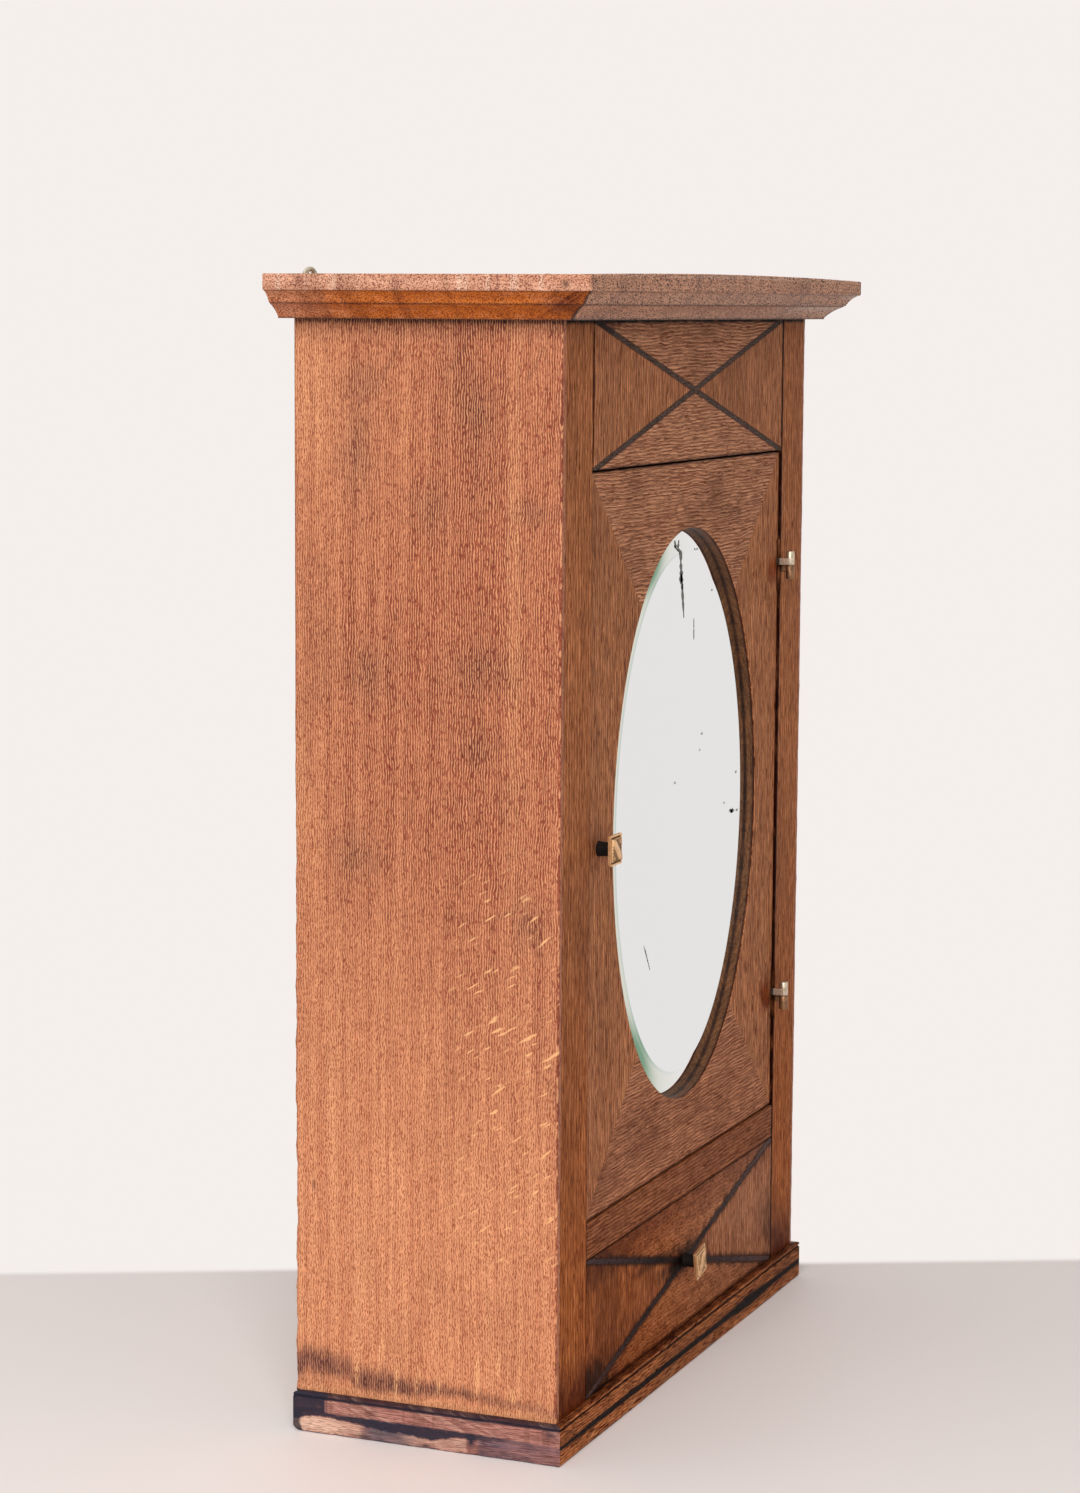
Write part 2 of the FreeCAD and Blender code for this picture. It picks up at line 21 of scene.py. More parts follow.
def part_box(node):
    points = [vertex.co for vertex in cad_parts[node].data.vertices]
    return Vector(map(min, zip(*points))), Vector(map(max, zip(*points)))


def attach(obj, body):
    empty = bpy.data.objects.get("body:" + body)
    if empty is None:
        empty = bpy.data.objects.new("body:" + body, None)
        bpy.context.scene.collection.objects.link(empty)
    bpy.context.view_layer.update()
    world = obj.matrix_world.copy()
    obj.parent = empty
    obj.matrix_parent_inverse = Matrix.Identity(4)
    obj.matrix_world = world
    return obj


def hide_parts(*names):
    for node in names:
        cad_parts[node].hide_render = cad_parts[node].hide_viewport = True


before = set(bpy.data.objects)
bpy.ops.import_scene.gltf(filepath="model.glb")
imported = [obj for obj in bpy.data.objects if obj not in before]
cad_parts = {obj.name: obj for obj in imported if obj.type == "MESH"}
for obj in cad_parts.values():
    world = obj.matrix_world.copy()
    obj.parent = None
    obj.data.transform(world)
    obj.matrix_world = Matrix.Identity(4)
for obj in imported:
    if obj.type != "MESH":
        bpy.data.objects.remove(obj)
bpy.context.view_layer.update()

mm = 0.001

# %% [markdown]
# ## Sizes
#
# Lengths in this lesson are written in millimetres and turned into metres at the very end, when a mesh is
# made. `span` asks a constructed piece where it begins and ends. The levels that several pieces share are
# read once here and given names.


# %% Sizes that the pieces share
def span(node):
    """The two far corners of a constructed piece, in millimetres."""
    low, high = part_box(node)
    return np.array(low) / mm, np.array(high) / mm


side_low, side_high = span("left_side")
half_width = -side_low[0]
front = side_low[1]
back = side_high[1]
base_height = side_low[2]
carcase_top = side_high[2]
cornice_low, cornice_high = span("cornice_front")
cornice_top = cornice_high[2]
cornice_overhang = front - cornice_low[1]
rear = span("cornice_left")[1][1]
stile_low, stile_high = span("left_stile")
behind_front = stile_high[1]
opening_half = -stile_high[0]
drawer_low, drawer_high = span("drawer_front")
door_low, door_high = span("door_board")
door_face = span("door_veneer_left")[0][1]
print("front at", front, "back at", back, "side from", base_height, "to", carcase_top)

# %% [markdown]
# ## Tools for surfaces
#
# Most pieces here are grids of points. A grid has rows and columns, and four neighbouring points make one
# face, so a whole surface can be worked out at once as an array, without stepping through its points. A grid
# whose last column joins its first becomes a tube.
#
# `make_piece` joins several such grids, closes the seams where their points meet, turns the faces outward
# and hangs the piece on the body that carries it when the cabinet moves.


# %% Grids and pieces
def grid_faces(rows, columns, join_columns=False):
    """Four-sided faces over a grid of points; the last column joins the first when asked."""
    row = np.arange(rows - 1)[:, None]
    column = np.arange(columns if join_columns else columns - 1)[None, :]
    beside = (column + 1) % columns
    corners = (row * columns + column, row * columns + beside,
               (row + 1) * columns + beside, (row + 1) * columns + column)
    return np.stack(np.broadcast_arrays(*corners), axis=-1).reshape(-1, 4)


def sheet(points, join_columns=False, caps=False):
    """One grid of points as a shell; caps close the first and last row of a tube with one face each."""
    rows, columns = points.shape[:2]
    faces = grid_faces(rows, columns, join_columns).tolist()
    if caps:
        first = np.arange(columns)
        faces += [first[::-1].tolist(), (first + (rows - 1) * columns).tolist()]
    return points.reshape(-1, 3), faces


def new_object(name, data):
    """An object in the scene that shows a mesh, a lamp or a camera."""
    made = bpy.data.objects.new(name, data)
    bpy.context.scene.collection.objects.link(made)
    return made


def make_piece(name, shells, finish, body, nodes, paint=None, sharp=30.0):
    """A mesh object from shells in millimetres, with seams joined and an optional painted attribute."""
    points = np.concatenate([shell[0] for shell in shells])
    faces = []
    start = 0
    for shell_points, shell_faces in shells:
        faces += [[corner + start for corner in face] for face in shell_faces]
        start += len(shell_points)
    mesh = bpy.data.meshes.new(name)
    mesh.from_pydata((points * mm).tolist(), [], faces)
    if paint is not None:
        marks = np.clip(paint(points), 0, 1)
        mesh.attributes.new("marks", "FLOAT_COLOR", "POINT").data.foreach_set("color", marks.ravel())
    work = bmesh.new()
    work.from_mesh(mesh)
    bmesh.ops.remove_doubles(work, verts=work.verts, dist=1e-6)
    bmesh.ops.recalc_face_normals(work, faces=work.faces)
    work.to_mesh(mesh)
    work.free()
    mesh.shade_smooth()
    mesh.set_sharp_from_angle(angle=math.radians(sharp))
    mesh.materials.append(finish)
    piece = new_object(name, mesh)
    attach(piece, body)
    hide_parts(*nodes)
    print("made", name, "with", len(mesh.vertices), "points")
    return piece


# %% [markdown]
# Old things are never quite even. `wobble` is a smooth random curve that is used to wear edges and to spread
# stains, and `smooth` is the soft step that blends one zone of a surface into the next. `spot` is a soft
# round or long patch, which may lie at a slant; `spots` adds several of them up. `channels` packs the painted
# values of a piece together.


# %% Random curves and soft steps
def wobble(place, length, seed, octaves=4):
    """A smooth random curve of about -1 to 1: sine waves, each shorter and weaker than the last."""
    random = np.random.default_rng(seed)
    total = np.zeros_like(place)
    for octave in range(octaves):
        turn = random.uniform(0, 2 * np.pi, 2)
        rate = 2 * np.pi * 1.9 ** octave / length
        total += np.sin(place * rate + turn[0]) * np.cos(place * rate * 0.73 + turn[1]) / 1.5 ** octave
    return total * 0.75


def smooth(low, high, value):
    """0 below low, 1 above high and an S-shaped blend between them."""
    share = np.clip((value - low) / (high - low), 0, 1)
    return share * share * (3 - 2 * share)


def spot(across, up, centre, radii, slant=0.0):
    """A soft patch: 1 in its middle, falling off by the square of the distance in radii."""
    angle = math.radians(slant)
    along = (across - centre[0]) * math.cos(angle) + (up - centre[1]) * math.sin(angle)
    aside = (up - centre[1]) * math.cos(angle) - (across - centre[0]) * math.sin(angle)
    return np.exp(-(along / radii[0]) ** 2 - (aside / radii[1]) ** 2)


def spots(across, up, patches):
    """The sum of several soft patches; each is a strength, followed by what spot asks for."""
    return sum(strength * spot(across, up, *patch) for strength, *patch in patches)


def channels(*painted):
    """The four painted channels of every point; those that are not given stay 0."""
    empty = [0 * painted[0]] * (4 - len(painted))
    return np.stack([*painted, *empty], axis=1)


# %% [markdown]
# ## Tools for boards and turned pieces
#
# A sawn board never has a knife-sharp edge. `eased_block` starts from the six faces of a plain box, draws
# every point back to the nearest point of a slightly smaller box, and pushes it out again by the size of the
# rounding. Flat parts stay where they were, and edges and corners become round.
#
# `turned` is a lathe: it carries an outline of radius and height round an axis.


# %% Boards and turned pieces
def eased_lines(low, high, ease, step):
    """Places along one edge: close together on the rounded ends, about one step apart between them."""
    turn = ease * np.array([0, 0.35, 0.7])
    count = max(2, int((high - low - 2 * ease) / step) + 1)
    return np.concatenate([low + turn, np.linspace(low + ease, high - ease, count), high - turn[::-1]])


def eased_block(low, high, ease, step=10.0):
    """The six faces of a box with rounded edges."""
    low = np.array(low, float)
    high = np.array(high, float)
    shells = []
    for axis in range(3):
        first, second = [other for other in range(3) if other != axis]
        u = eased_lines(low[first], high[first], ease, step)
        v = eased_lines(low[second], high[second], ease, step)
        for end in (low, high):
            points = np.empty((len(u), len(v), 3))
            points[..., axis] = end[axis]
            points[..., first] = u[:, None]
            points[..., second] = v[None, :]
            core = np.clip(points, low + ease, high - ease)
            away = points - core
            away *= ease / np.linalg.norm(away, axis=-1, keepdims=True)
            shells.append(sheet(core + away))
    return shells


def turned(outline, centre, axis, count=40):
    """Radius and height pairs carried round an axis that is 1 (to the back) or 2 (upward)."""
    radius, rise = np.array(outline, float).T
    angle = np.linspace(0, 2 * np.pi, count, endpoint=False)
    points = np.empty((len(radius), count, 3))
    points[..., 0] = radius[:, None] * np.cos(angle)
    points[..., 3 - axis] = radius[:, None] * np.sin(angle)
    points[..., axis] = rise[:, None]
    return sheet(points + np.array(centre, float), join_columns=True)


# %% [markdown]
# ## Materials
#
# A material is a small network of nodes. `Finish` keeps the writing short: each method adds a node or two
# and gives back the output, ready for the next one. All textures read Object coordinates, the place of a
# point measured from the object's origin, so the grain runs through the wood and keeps its size.


# %% A short way to write materials
def tone(red, green, blue):
    """A colour as a picture program shows it (0 to 255), turned into the linear values of a shader."""
    share = np.array([red, green, blue]) / 255
    linear = np.where(share <= 0.04045, share / 12.92, ((share + 0.055) / 1.055) ** 2.4)
    return (*linear.tolist(), 1.0)


class Finish:
    """A material that is put together node by node."""

    def __init__(self, name, material=None):
        self.material = material or bpy.data.materials.new(name)
        self.material.use_nodes = True
        self.tree = self.material.node_tree
        self.shader = self.tree.nodes["Principled BSDF"]
        self.place = self.add("ShaderNodeTexCoord").outputs["Object"]

    def add(self, kind, **settings):
        node = self.tree.nodes.new(kind)
        for key, value in settings.items():
            setattr(node, key, value)
        return node

    def feed(self, socket, value):
        if isinstance(value, bpy.types.NodeSocket):
            self.tree.links.new(value, socket)
        else:
            socket.default_value = value

    def give(self, name, value):
        """Sets one input of the shader, or links it to an output."""
        self.feed(self.shader.inputs[name], value)

    def math(self, kind, first, second=0.0):
        node = self.add("ShaderNodeMath", operation=kind)
        self.feed(node.inputs[0], first)
        self.feed(node.inputs[1], second)
        return node.outputs[0]

    def times(self, first, second):
        return self.math("MULTIPLY", first, second)

    def plus(self, first, second):
        return self.math("ADD", first, second)

    def rest(self, value):
        """What is left of 1 when the value is taken away."""
        return self.math("SUBTRACT", 1.0, value)

    def capped(self, value):
        """The value, but never more than 1."""
        return self.math("MINIMUM", value, 1.0)

    def gap(self, first, second):
        """How far apart two values are."""
        return self.math("ABSOLUTE", self.math("SUBTRACT", first, second))

    def sides(self):
        """The place of a point, taken apart into X, Y and Z."""
        parted = self.add("ShaderNodeSeparateXYZ")
        self.feed(parted.inputs[0], self.place)
        return parted.outputs

    def vector(self, kind, first, second):
        node = self.add("ShaderNodeVectorMath", operation=kind)
        self.feed(node.inputs[0], first)
        self.feed(node.inputs[1], second)
        return node.outputs["Value" if kind in ("DOT_PRODUCT", "DISTANCE") else "Vector"]

    def noise(self, place, size, shift=0.0, detail=2.0, output="Fac"):
        """Random clouds; size gives their length in millimetres on each axis."""
        moved = self.add("ShaderNodeMapping")
        self.feed(moved.inputs["Vector"], place)
        moved.inputs["Scale"].default_value = [1 / (length * mm) for length in size]
        moved.inputs["Location"].default_value = (shift, shift * 0.7, shift * 1.3)
        node = self.add("ShaderNodeTexNoise")
        self.feed(node.inputs["Vector"], moved.outputs["Vector"])
        node.inputs["Scale"].default_value = 1.0
        node.inputs["Detail"].default_value = detail
        return node.outputs[output]

    def step(self, value, low, high):
        """A soft step from 0 at low to 1 at high."""
        node = self.add("ShaderNodeMapRange", interpolation_type="SMOOTHSTEP")
        self.feed(node.inputs["Value"], value)
        self.feed(node.inputs["From Min"], low)
        self.feed(node.inputs["From Max"], high)
        return node.outputs["Result"]

    def mix(self, share, first, second, blend="MIX"):
        """Lays the second colour over the first; with MULTIPLY it darkens the first instead."""
        node = self.add("ShaderNodeMix", data_type="RGBA", blend_type=blend)
        self.feed(node.inputs["Factor"], share)
        colours = [socket for socket in node.inputs if socket.type == "RGBA"]
        self.feed(colours[0], first)
        self.feed(colours[1], second)
        return [socket for socket in node.outputs if socket.type == "RGBA"][0]

    def marks(self):
        """The four painted channels of a piece, which are 0 where nothing is painted."""
        painted = self.add("ShaderNodeAttribute", attribute_name="marks")
        parted = self.add("ShaderNodeSeparateColor")
        self.feed(parted.inputs[0], painted.outputs["Color"])
        return [*list(parted.outputs)[:3], painted.outputs["Alpha"]]

    def relief(self, height, depth):
        """Small ups and downs of the surface, depth in millimetres."""
        node = self.add("ShaderNodeBump")
        node.inputs["Distance"].default_value = depth * mm
        self.feed(node.inputs["Height"], height)
        self.give("Normal", node.outputs["Normal"])


# %% [markdown]
# ## Oak
#
# Oak shows several things at once, and the network below makes each of them with one or two textures: growth
# rings, which are bands across the grain with one soft and one hard edge (a saw-tooth wave, pushed about by
# noise); long streaks of lighter and darker wood; short open pores, which are noise stretched along the grain
# and cut off sharply; small mottles; and broad dark clouds left by age and polish. `along` names the axis the
# grain runs on.
#
# Polished oak also shows threads, the fine pale lines between the pores: a wave across the grain, broken off
# here and there by noise. Quartered oak has flecks, which are short bright strokes at a slant. The last
# argument lists the levels where the colour is darkened, by dirt that has settled there and by painted shade:
# an axis and the level on it, how far the darkening reaches to both sides, how strong it is, and its tone.
# The sizes that are named first are lengths across and along the grain, in millimetres.
#
# A piece may also carry painted marks, made later as an attribute of its points: the first channel darkens
# the wood like a stain, the second lays a pale tone over it, the third lays a last colour over it, and the
# fourth is a second, deeper darkening. Most marks are stains and wear, but some are painted shade, painted
# sheen and painted bounce light. The mottles break up the edges of the stains, so that they sink in unevenly
# like real ones.


# %% The oak material
broad_bend = (45, 100)
small_bend = (7, 13)
ring_drift = (24, 70)
streak_size = (5, 150)
broad_cloud = (55, 110)
mottle_size = (7, 12)
thread_bend = (6, 9)
thread_pitch = 1.7
fleck_size = (16, 15, 2.6)
fleck_slant = 32
grime_tone = tone(56, 44, 42)
shadow_tone = tone(44, 30, 26)
warm_dirt = tone(100, 62, 38)


def fleck_strokes(wood, place, shift):
    """Short strokes at a slant: 1 on a stroke and 0 beside it."""
    slant = wood.add("ShaderNodeVectorRotate", rotation_type="X_AXIS")
    wood.feed(slant.inputs["Vector"], place)
    slant.inputs["Angle"].default_value = math.radians(fleck_slant)
    stroke = wood.noise(slant.outputs["Vector"], fleck_size, shift + 2.2, 1.0)
    return wood.step(stroke, 0.64, 0.74)


def settle(wood, colour, uneven, grime_and_shade):
    """Darkens a colour near every listed level, for dirt and for painted shade, most on the level itself."""
    sides = wood.sides()
    for way, level, reach, strength, darkening_tone in grime_and_shade:
        away = wood.gap(sides["XYZ".index(way)], level * mm)
        dirt = wood.rest(wood.step(away, 0.2 * reach * mm, reach * mm))
        dirt = wood.times(wood.times(dirt, strength), uneven)
        colour = wood.mix(wood.capped(dirt), colour, darkening_tone, "MULTIPLY")
    return colour


def oak(name, along, light, middle, dark, ring=4.5, sway=2.0, curl=2.0, pores=0.75, rings=0.5, clouds=0.5,
        mottles=0.35, pore_size=(0.6, 4.2), pore_cut=(0.48, 0.62), pore_tone=tone(160, 136, 132), rough=0.5,
        depth=0.12, shift=0.0, sheen=0.2, paint=None, flecks=False, threads=0.0,
        thread_tone=tone(232, 168, 120), thread_length=10, grime_and_shade=()):
    """Oak grain along one axis; sizes are in millimetres and strengths run from 0 to 1."""
    wood = Finish(name)
    wood.give("Specular IOR Level", sheen)
    axis = "xyz".index(along)

    def lengthwise(across, length):
        size = [across] * 3
        size[axis] = length
        return size

    def bend(place, size, reach, seed):
        drift = wood.noise(place, size, seed, output="Color")
        drift = wood.vector("SUBTRACT", drift, (0.5, 0.5, 0.5))
        return wood.vector("ADD", place, wood.vector("MULTIPLY", drift, [2 * reach * mm] * 3))

    place = bend(wood.place, lengthwise(*broad_bend), curl, shift + 3.1)
    place = bend(place, lengthwise(*small_bend), 0.35 * curl, shift + 4.4)
    across = [1 / (ring * mm)] * 3
    across[axis] = 0.0
    drift = wood.noise(place, lengthwise(*ring_drift), shift + 1.7, 3.0)
    phase = wood.plus(wood.vector("DOT_PRODUCT", place, across), wood.times(drift, sway))
    band = wood.step(wood.math("FRACT", phase), 0.2, 1.0)
    streak = wood.noise(place, lengthwise(*streak_size), shift, 3.0)
    cloud = wood.noise(wood.place, lengthwise(*broad_cloud), shift + 5.3, 3.0)
    mottle = wood.noise(place, lengthwise(*mottle_size), shift + 7.7, 4.0)
    dash = wood.noise(place, lengthwise(*pore_size), shift + 9.2, 1.0)
    pore = wood.step(dash, *pore_cut)
    uneven = wood.plus(mottle, 0.5)

    colour = wood.mix(wood.step(streak, 0.3, 0.7), middle, light)
    colour = wood.mix(wood.times(band, rings), colour, dark)
    colour = wood.mix(wood.times(wood.step(cloud, 0.48, 0.75), clouds), colour, dark)
    colour = wood.mix(wood.times(wood.step(mottle, 0.42, 0.68), mottles), colour, dark)
    if threads:
        fine = bend(place, lengthwise(*thread_bend), 0.9, shift + 6.1)
        lines = [value * ring / thread_pitch for value in across]
        line = wood.math("PINGPONG", wood.vector("DOT_PRODUCT", fine, lines), 0.5)
        breaks = wood.noise(place, lengthwise(1.6, thread_length), shift + 8.3, 1.0)
        thread = wood.times(wood.step(line, 0.2, 0.42), wood.step(breaks, 0.3, 0.5))
        pore = wood.times(pore, wood.rest(wood.times(thread, 0.7)))
    if paint:
        # Mostly stains, wear and flecks; on some pieces these channels also carry painted shade, sheen and
        # bounce light.
        stain, pale, cover, damp = wood.marks()
        stain = wood.capped(wood.times(stain, uneven))
        damp = wood.capped(wood.times(damp, uneven))
        colour = wood.mix(stain, colour, paint[0], "MULTIPLY")
        colour = wood.mix(damp, colour, paint[3], "MULTIPLY")
    if threads:
        shown = wood.plus(wood.times(stain, 0.45), 0.5) if paint else 1.0
        colour = wood.mix(wood.times(wood.times(thread, shown), threads), colour, thread_tone)
    if paint:
        if threads:
            pale = wood.times(pale, wood.plus(wood.times(thread, 0.6), 0.4))
        colour = wood.mix(pale, colour, paint[1])
    colour = wood.mix(wood.times(pore, pores), colour, pore_tone, "MULTIPLY")
    if flecks:
        cover = wood.times(cover, fleck_strokes(wood, place, shift))
    if paint:
        colour = wood.mix(cover, colour, paint[2])
    wood.give("Base Color", settle(wood, colour, uneven, grime_and_shade))
    dull = wood.plus(wood.times(streak, 0.24), rough - 0.12)
    wood.give("Roughness", wood.plus(dull, wood.times(pore, 0.15)))
    height = wood.plus(pore, wood.times(band, 0.6))
    wood.relief(wood.times(height, -1.0), depth)
    return wood.material


# %% Woods of the sides, the front and the inside
marks_of_side = (tone(184, 143, 138), tone(246, 184, 130), tone(244, 184, 128), tone(128, 110, 138))
side_oak = oak("side_oak", "z", tone(233, 161, 116), tone(210, 134, 95), tone(162, 101, 72), ring=6.0,
               rings=0.2, clouds=0.35, mottles=0.12, pores=0.9, pore_size=(0.45, 2.3), pore_cut=(0.46, 0.58),
               pore_tone=tone(177, 139, 118), depth=0.1, sheen=0.3, paint=marks_of_side, flecks=True,
               threads=0.72, thread_tone=tone(236, 170, 121), thread_length=4)
# Painted shade: the lower part of the front is darker and warmer, as it takes less light and sheen than the
# top.
warm_low_shade = ("Z", 0, 420, 0.8, tone(240, 212, 158))
foot_dirt = ("Z", 20, 54, 1.0, tone(150, 122, 94))
# The first line is painted shadow: a dark line along the top of the front, under the cornice. The other two
# are dirt in the joints beside the door.
joints_and_cornice_shadow = [("Z", carcase_top, 3.6, 1.0, tone(30, 18, 14)), ("X", -opening_half, 1.6, 0.5, warm_dirt),
          ("X", opening_half, 3.0, 1.0, tone(58, 32, 20))]
stile_oak = oak("stile_oak", "z", tone(230, 151, 100), tone(201, 124, 78), tone(118, 66, 38), ring=4.4,
                rings=0.7, pores=1.0, pore_size=(0.5, 13), pore_cut=(0.47, 0.58),
                pore_tone=tone(140, 104, 88), shift=2.0, sheen=0.03, threads=0.4,
                thread_tone=tone(240, 156, 96), grime_and_shade=joints_and_cornice_shadow + [warm_low_shade, foot_dirt])
lip_rear = span("mirror_glass")[1][1] - 2.5
# Dirt in the joints at the glass and at the veneer; the two lines at the left and right edges are painted
# shadow in the gaps beside the stiles.
rim_joints_and_shadow = [("Y", lip_rear, 2.0, 0.8, warm_dirt), ("Y", door_face + 1.0, 1.8, 0.8, warm_dirt),
              ("X", -opening_half, 3.0, 1.0, shadow_tone), ("X", opening_half, 3.0, 0.8, shadow_tone)]
rim_oak = oak("rim_oak", "z", tone(132, 86, 52), tone(108, 70, 42), tone(72, 45, 27), ring=5.0, shift=3.0,
              grime_and_shade=rim_joints_and_shadow)
rail_oak = oak("rail_oak", "x", tone(202, 139, 108), tone(178, 115, 87), tone(98, 56, 38), ring=2.7,
               rings=0.7, pore_size=(0.45, 18), pore_cut=(0.5, 0.6), pore_tone=tone(140, 104, 90),
               shift=4.0, sheen=0.03, grime_and_shade=joints_and_cornice_shadow + [warm_low_shade])
# Dirt in the gaps above and below the door and at the edge of the veneer, added to the lines above, which
# hold the painted shadow under the cornice.
panel_joints_and_shade = joints_and_cornice_shadow + [("Z", door_high[2] + 0.8, 2.6, 0.8, grime_tone),
                         ("Z", door_low[2] - 0.8, 2.4, 0.7, grime_tone),
                         ("Y", door_face + 0.75, 0.74, 1.0, warm_dirt)]
veneer_up = oak("veneer_up", "z", tone(244, 166, 118), tone(216, 140, 99), tone(110, 62, 38), ring=3.6,
                sway=2.6, rings=0.75, pores=1.0, pore_size=(0.45, 18), pore_cut=(0.47, 0.57),
                pore_tone=tone(132, 94, 80), depth=0.2, shift=6.0, sheen=0.03, threads=0.55,
                thread_tone=tone(243, 166, 106), grime_and_shade=panel_joints_and_shade)
low_shade = ("Z", door_low[2], 150, 0.7, tone(236, 220, 210))
veneer_level = oak("veneer_level", "x", tone(242, 174, 132), tone(218, 149, 110), tone(104, 58, 36),
                   ring=2.5, sway=3.4, rings=0.64, mottles=0.2, pores=0.7, pore_size=(0.45, 22),
                   pore_cut=(0.52, 0.6), pore_tone=tone(140, 102, 88), depth=0.25, shift=8.0, sheen=0.03,
                   grime_and_shade=panel_joints_and_shade + [low_shade])
inner_tones = (tone(205, 160, 120), tone(186, 138, 98), tone(150, 104, 70))
inner_oak, inner_oak_level, inner_oak_deep = [
    oak(name, along, *inner_tones, ring=6.0, rings=0.3, pores=0.4, rough=0.65, shift=shift)
    for name, along, shift in (("inner_oak", "z", 11.0), ("inner_oak_level", "x", 12.0),
                               ("inner_oak_deep", "y", 13.0))]
print("mixed", len(bpy.data.materials), "materials")

# %% [markdown]
# ## Mouldings, metal and glass
#
# The cornice and the base are oak as well, but each has had its own life: the cornice kept its pale fascia,
# and its side coves carry a painted orange glow of light bounced from the side; the base was once black and
# is now worn to the wood in patches. Their painted marks do that work, and also paint shade into the corners
# of the mouldings and under the carcase. The metals are plain shaders with a little cloudiness, so that they
# do not look new. Dark marks are painted on them as well, old polish in the hollows of the knobs and the
# plates and necks of the hinges, and take their shine away where they lie.


# %% Materials of the mouldings
fascia_tones = (tone(232, 176, 146), tone(210, 150, 120), tone(172, 112, 86))
marks_of_cornice = (tone(245, 186, 92), tone(240, 208, 184), tone(52, 34, 28), tone(128, 96, 96))
cornice_level = oak("cornice_level", "x", tone(232, 174, 138), tone(210, 148, 112), tone(172, 110, 80),
                    ring=3.0, rings=0.35, pores=1.0, pore_size=(0.9, 1.7), pore_cut=(0.5, 0.62),
                    pore_tone=tone(92, 68, 60), shift=15.0, sheen=0.3, paint=marks_of_cornice)
cornice_deep = oak("cornice_deep", "y", *fascia_tones, ring=3.0, rings=0.25, pores=0.9, pore_size=(0.85, 1.0),
                   pore_tone=tone(150, 116, 108), shift=17.0, paint=marks_of_cornice)
marks_of_base = (tone(110, 70, 60), tone(240, 200, 174), tone(40, 36, 50), tone(120, 170, 230))
marks_of_front = (tone(104, 66, 48), tone(240, 190, 140), tone(22, 14, 13), tone(120, 170, 230))
base_level = oak("base_level", "x", tone(240, 150, 90), tone(206, 122, 70), tone(112, 66, 36), ring=2.2,
                 rings=0.7, pores=1.0, pore_size=(0.5, 12), pore_cut=(0.5, 0.6),
                 pore_tone=tone(130, 90, 70), shift=19.0, sheen=0.03, paint=marks_of_front)
base_deep = oak("base_deep", "y", tone(210, 148, 132), tone(176, 118, 106), tone(116, 74, 70), ring=1.3,
                rings=0.55, pores=0.7, pore_size=(0.35, 14), pore_cut=(0.5, 0.6),
                pore_tone=tone(150, 116, 112), shift=21.0, paint=marks_of_base)


# %% Metals and glass
def metal(name, colour, worn, rough, cloud_size=6.0, metallic=1.0, depth=0.03, paint=None):
    """A metal with clouds of a second colour, uneven polish and a slightly uneven skin."""
    made = Finish(name)
    gloss = 0.1 + 0.4 * metallic
    made.give("Metallic", metallic)
    made.give("Specular IOR Level", gloss)
    cloud = made.noise(made.place, [cloud_size] * 3, 2.0, 4.0)
    shade = made.mix(made.step(cloud, 0.4, 0.7), colour, worn)
    if paint is not None:
        # The painted channel darkens the metal and takes its shine: old polish in the knobs' hollows, and the
        # dark plates and necks of the hinges.
        dirt = made.marks()[0]
        bare = made.rest(dirt)
        shade = made.mix(dirt, shade, paint)
        made.give("Metallic", made.times(bare, metallic))
        made.give("Specular IOR Level", made.times(bare, gloss))
    made.give("Base Color", shade)
    made.give("Roughness", made.plus(made.times(cloud, 0.3), rough - 0.15))
    made.relief(cloud, depth)
    return made.material


knob_brass = metal("knob_brass", tone(232, 188, 140), tone(206, 156, 106), 0.36, 4.0, 0.85,
                   paint=tone(84, 54, 34))
knob_black = metal("knob_black", tone(18, 13, 11), tone(28, 20, 16), 0.75, 3.0, 0.0)
hinge_nickel = metal("hinge_nickel", tone(214, 200, 180), tone(172, 150, 124), 0.36, 3.0, 0.9,
                     paint=tone(40, 25, 18))
hinge_brown = metal("hinge_brown", tone(150, 112, 80), tone(104, 76, 54), 0.45, 3.0, 0.8,
                    paint=tone(40, 25, 18))
dull_steel = metal("dull_steel", tone(200, 192, 172), tone(150, 138, 116), 0.42, 5.0, 0.95)
plain_brass = metal("plain_brass", tone(206, 168, 104), tone(160, 120, 70), 0.35, 4.0, 0.95)

silver = Finish("silver")
silver.give("Metallic", 1.0)
silver.give("Roughness", 0.02)
# The first painted channel tints the bevel green, like the glass's cut edge; the second lays a painted cream
# reflection over the left bevel.
green_glass, cream_reflection = silver.marks()[:2]
glass_tint_and_reflection = silver.mix(cream_reflection, (0.83, 0.87, 0.885, 1.0), (0.72, 0.76, 0.67, 1.0))
silver.give("Base Color", silver.mix(green_glass, glass_tint_and_reflection, tone(108, 156, 126)))
lost_silver = metal("lost_silver", tone(120, 122, 116), tone(70, 70, 66), 0.5, 1.0, 0.2)
faded_silver = metal("faded_silver", tone(190, 194, 190), tone(140, 144, 140), 0.5, 1.0, 0.2)
stringing_grey = oak("stringing_grey", "x", tone(104, 84, 74), tone(88, 70, 62), tone(60, 46, 40), ring=2.2,
                     shift=23.0, sheen=0.03)
stringing_black = oak("stringing_black", "x", tone(104, 78, 74), tone(88, 64, 62), tone(66, 48, 48), ring=2.2,
                      shift=25.0, sheen=0.05, grime_and_shade=[("X", -30, 210, 0.9, tone(104, 92, 100))])
print("now", len(bpy.data.materials), "materials")
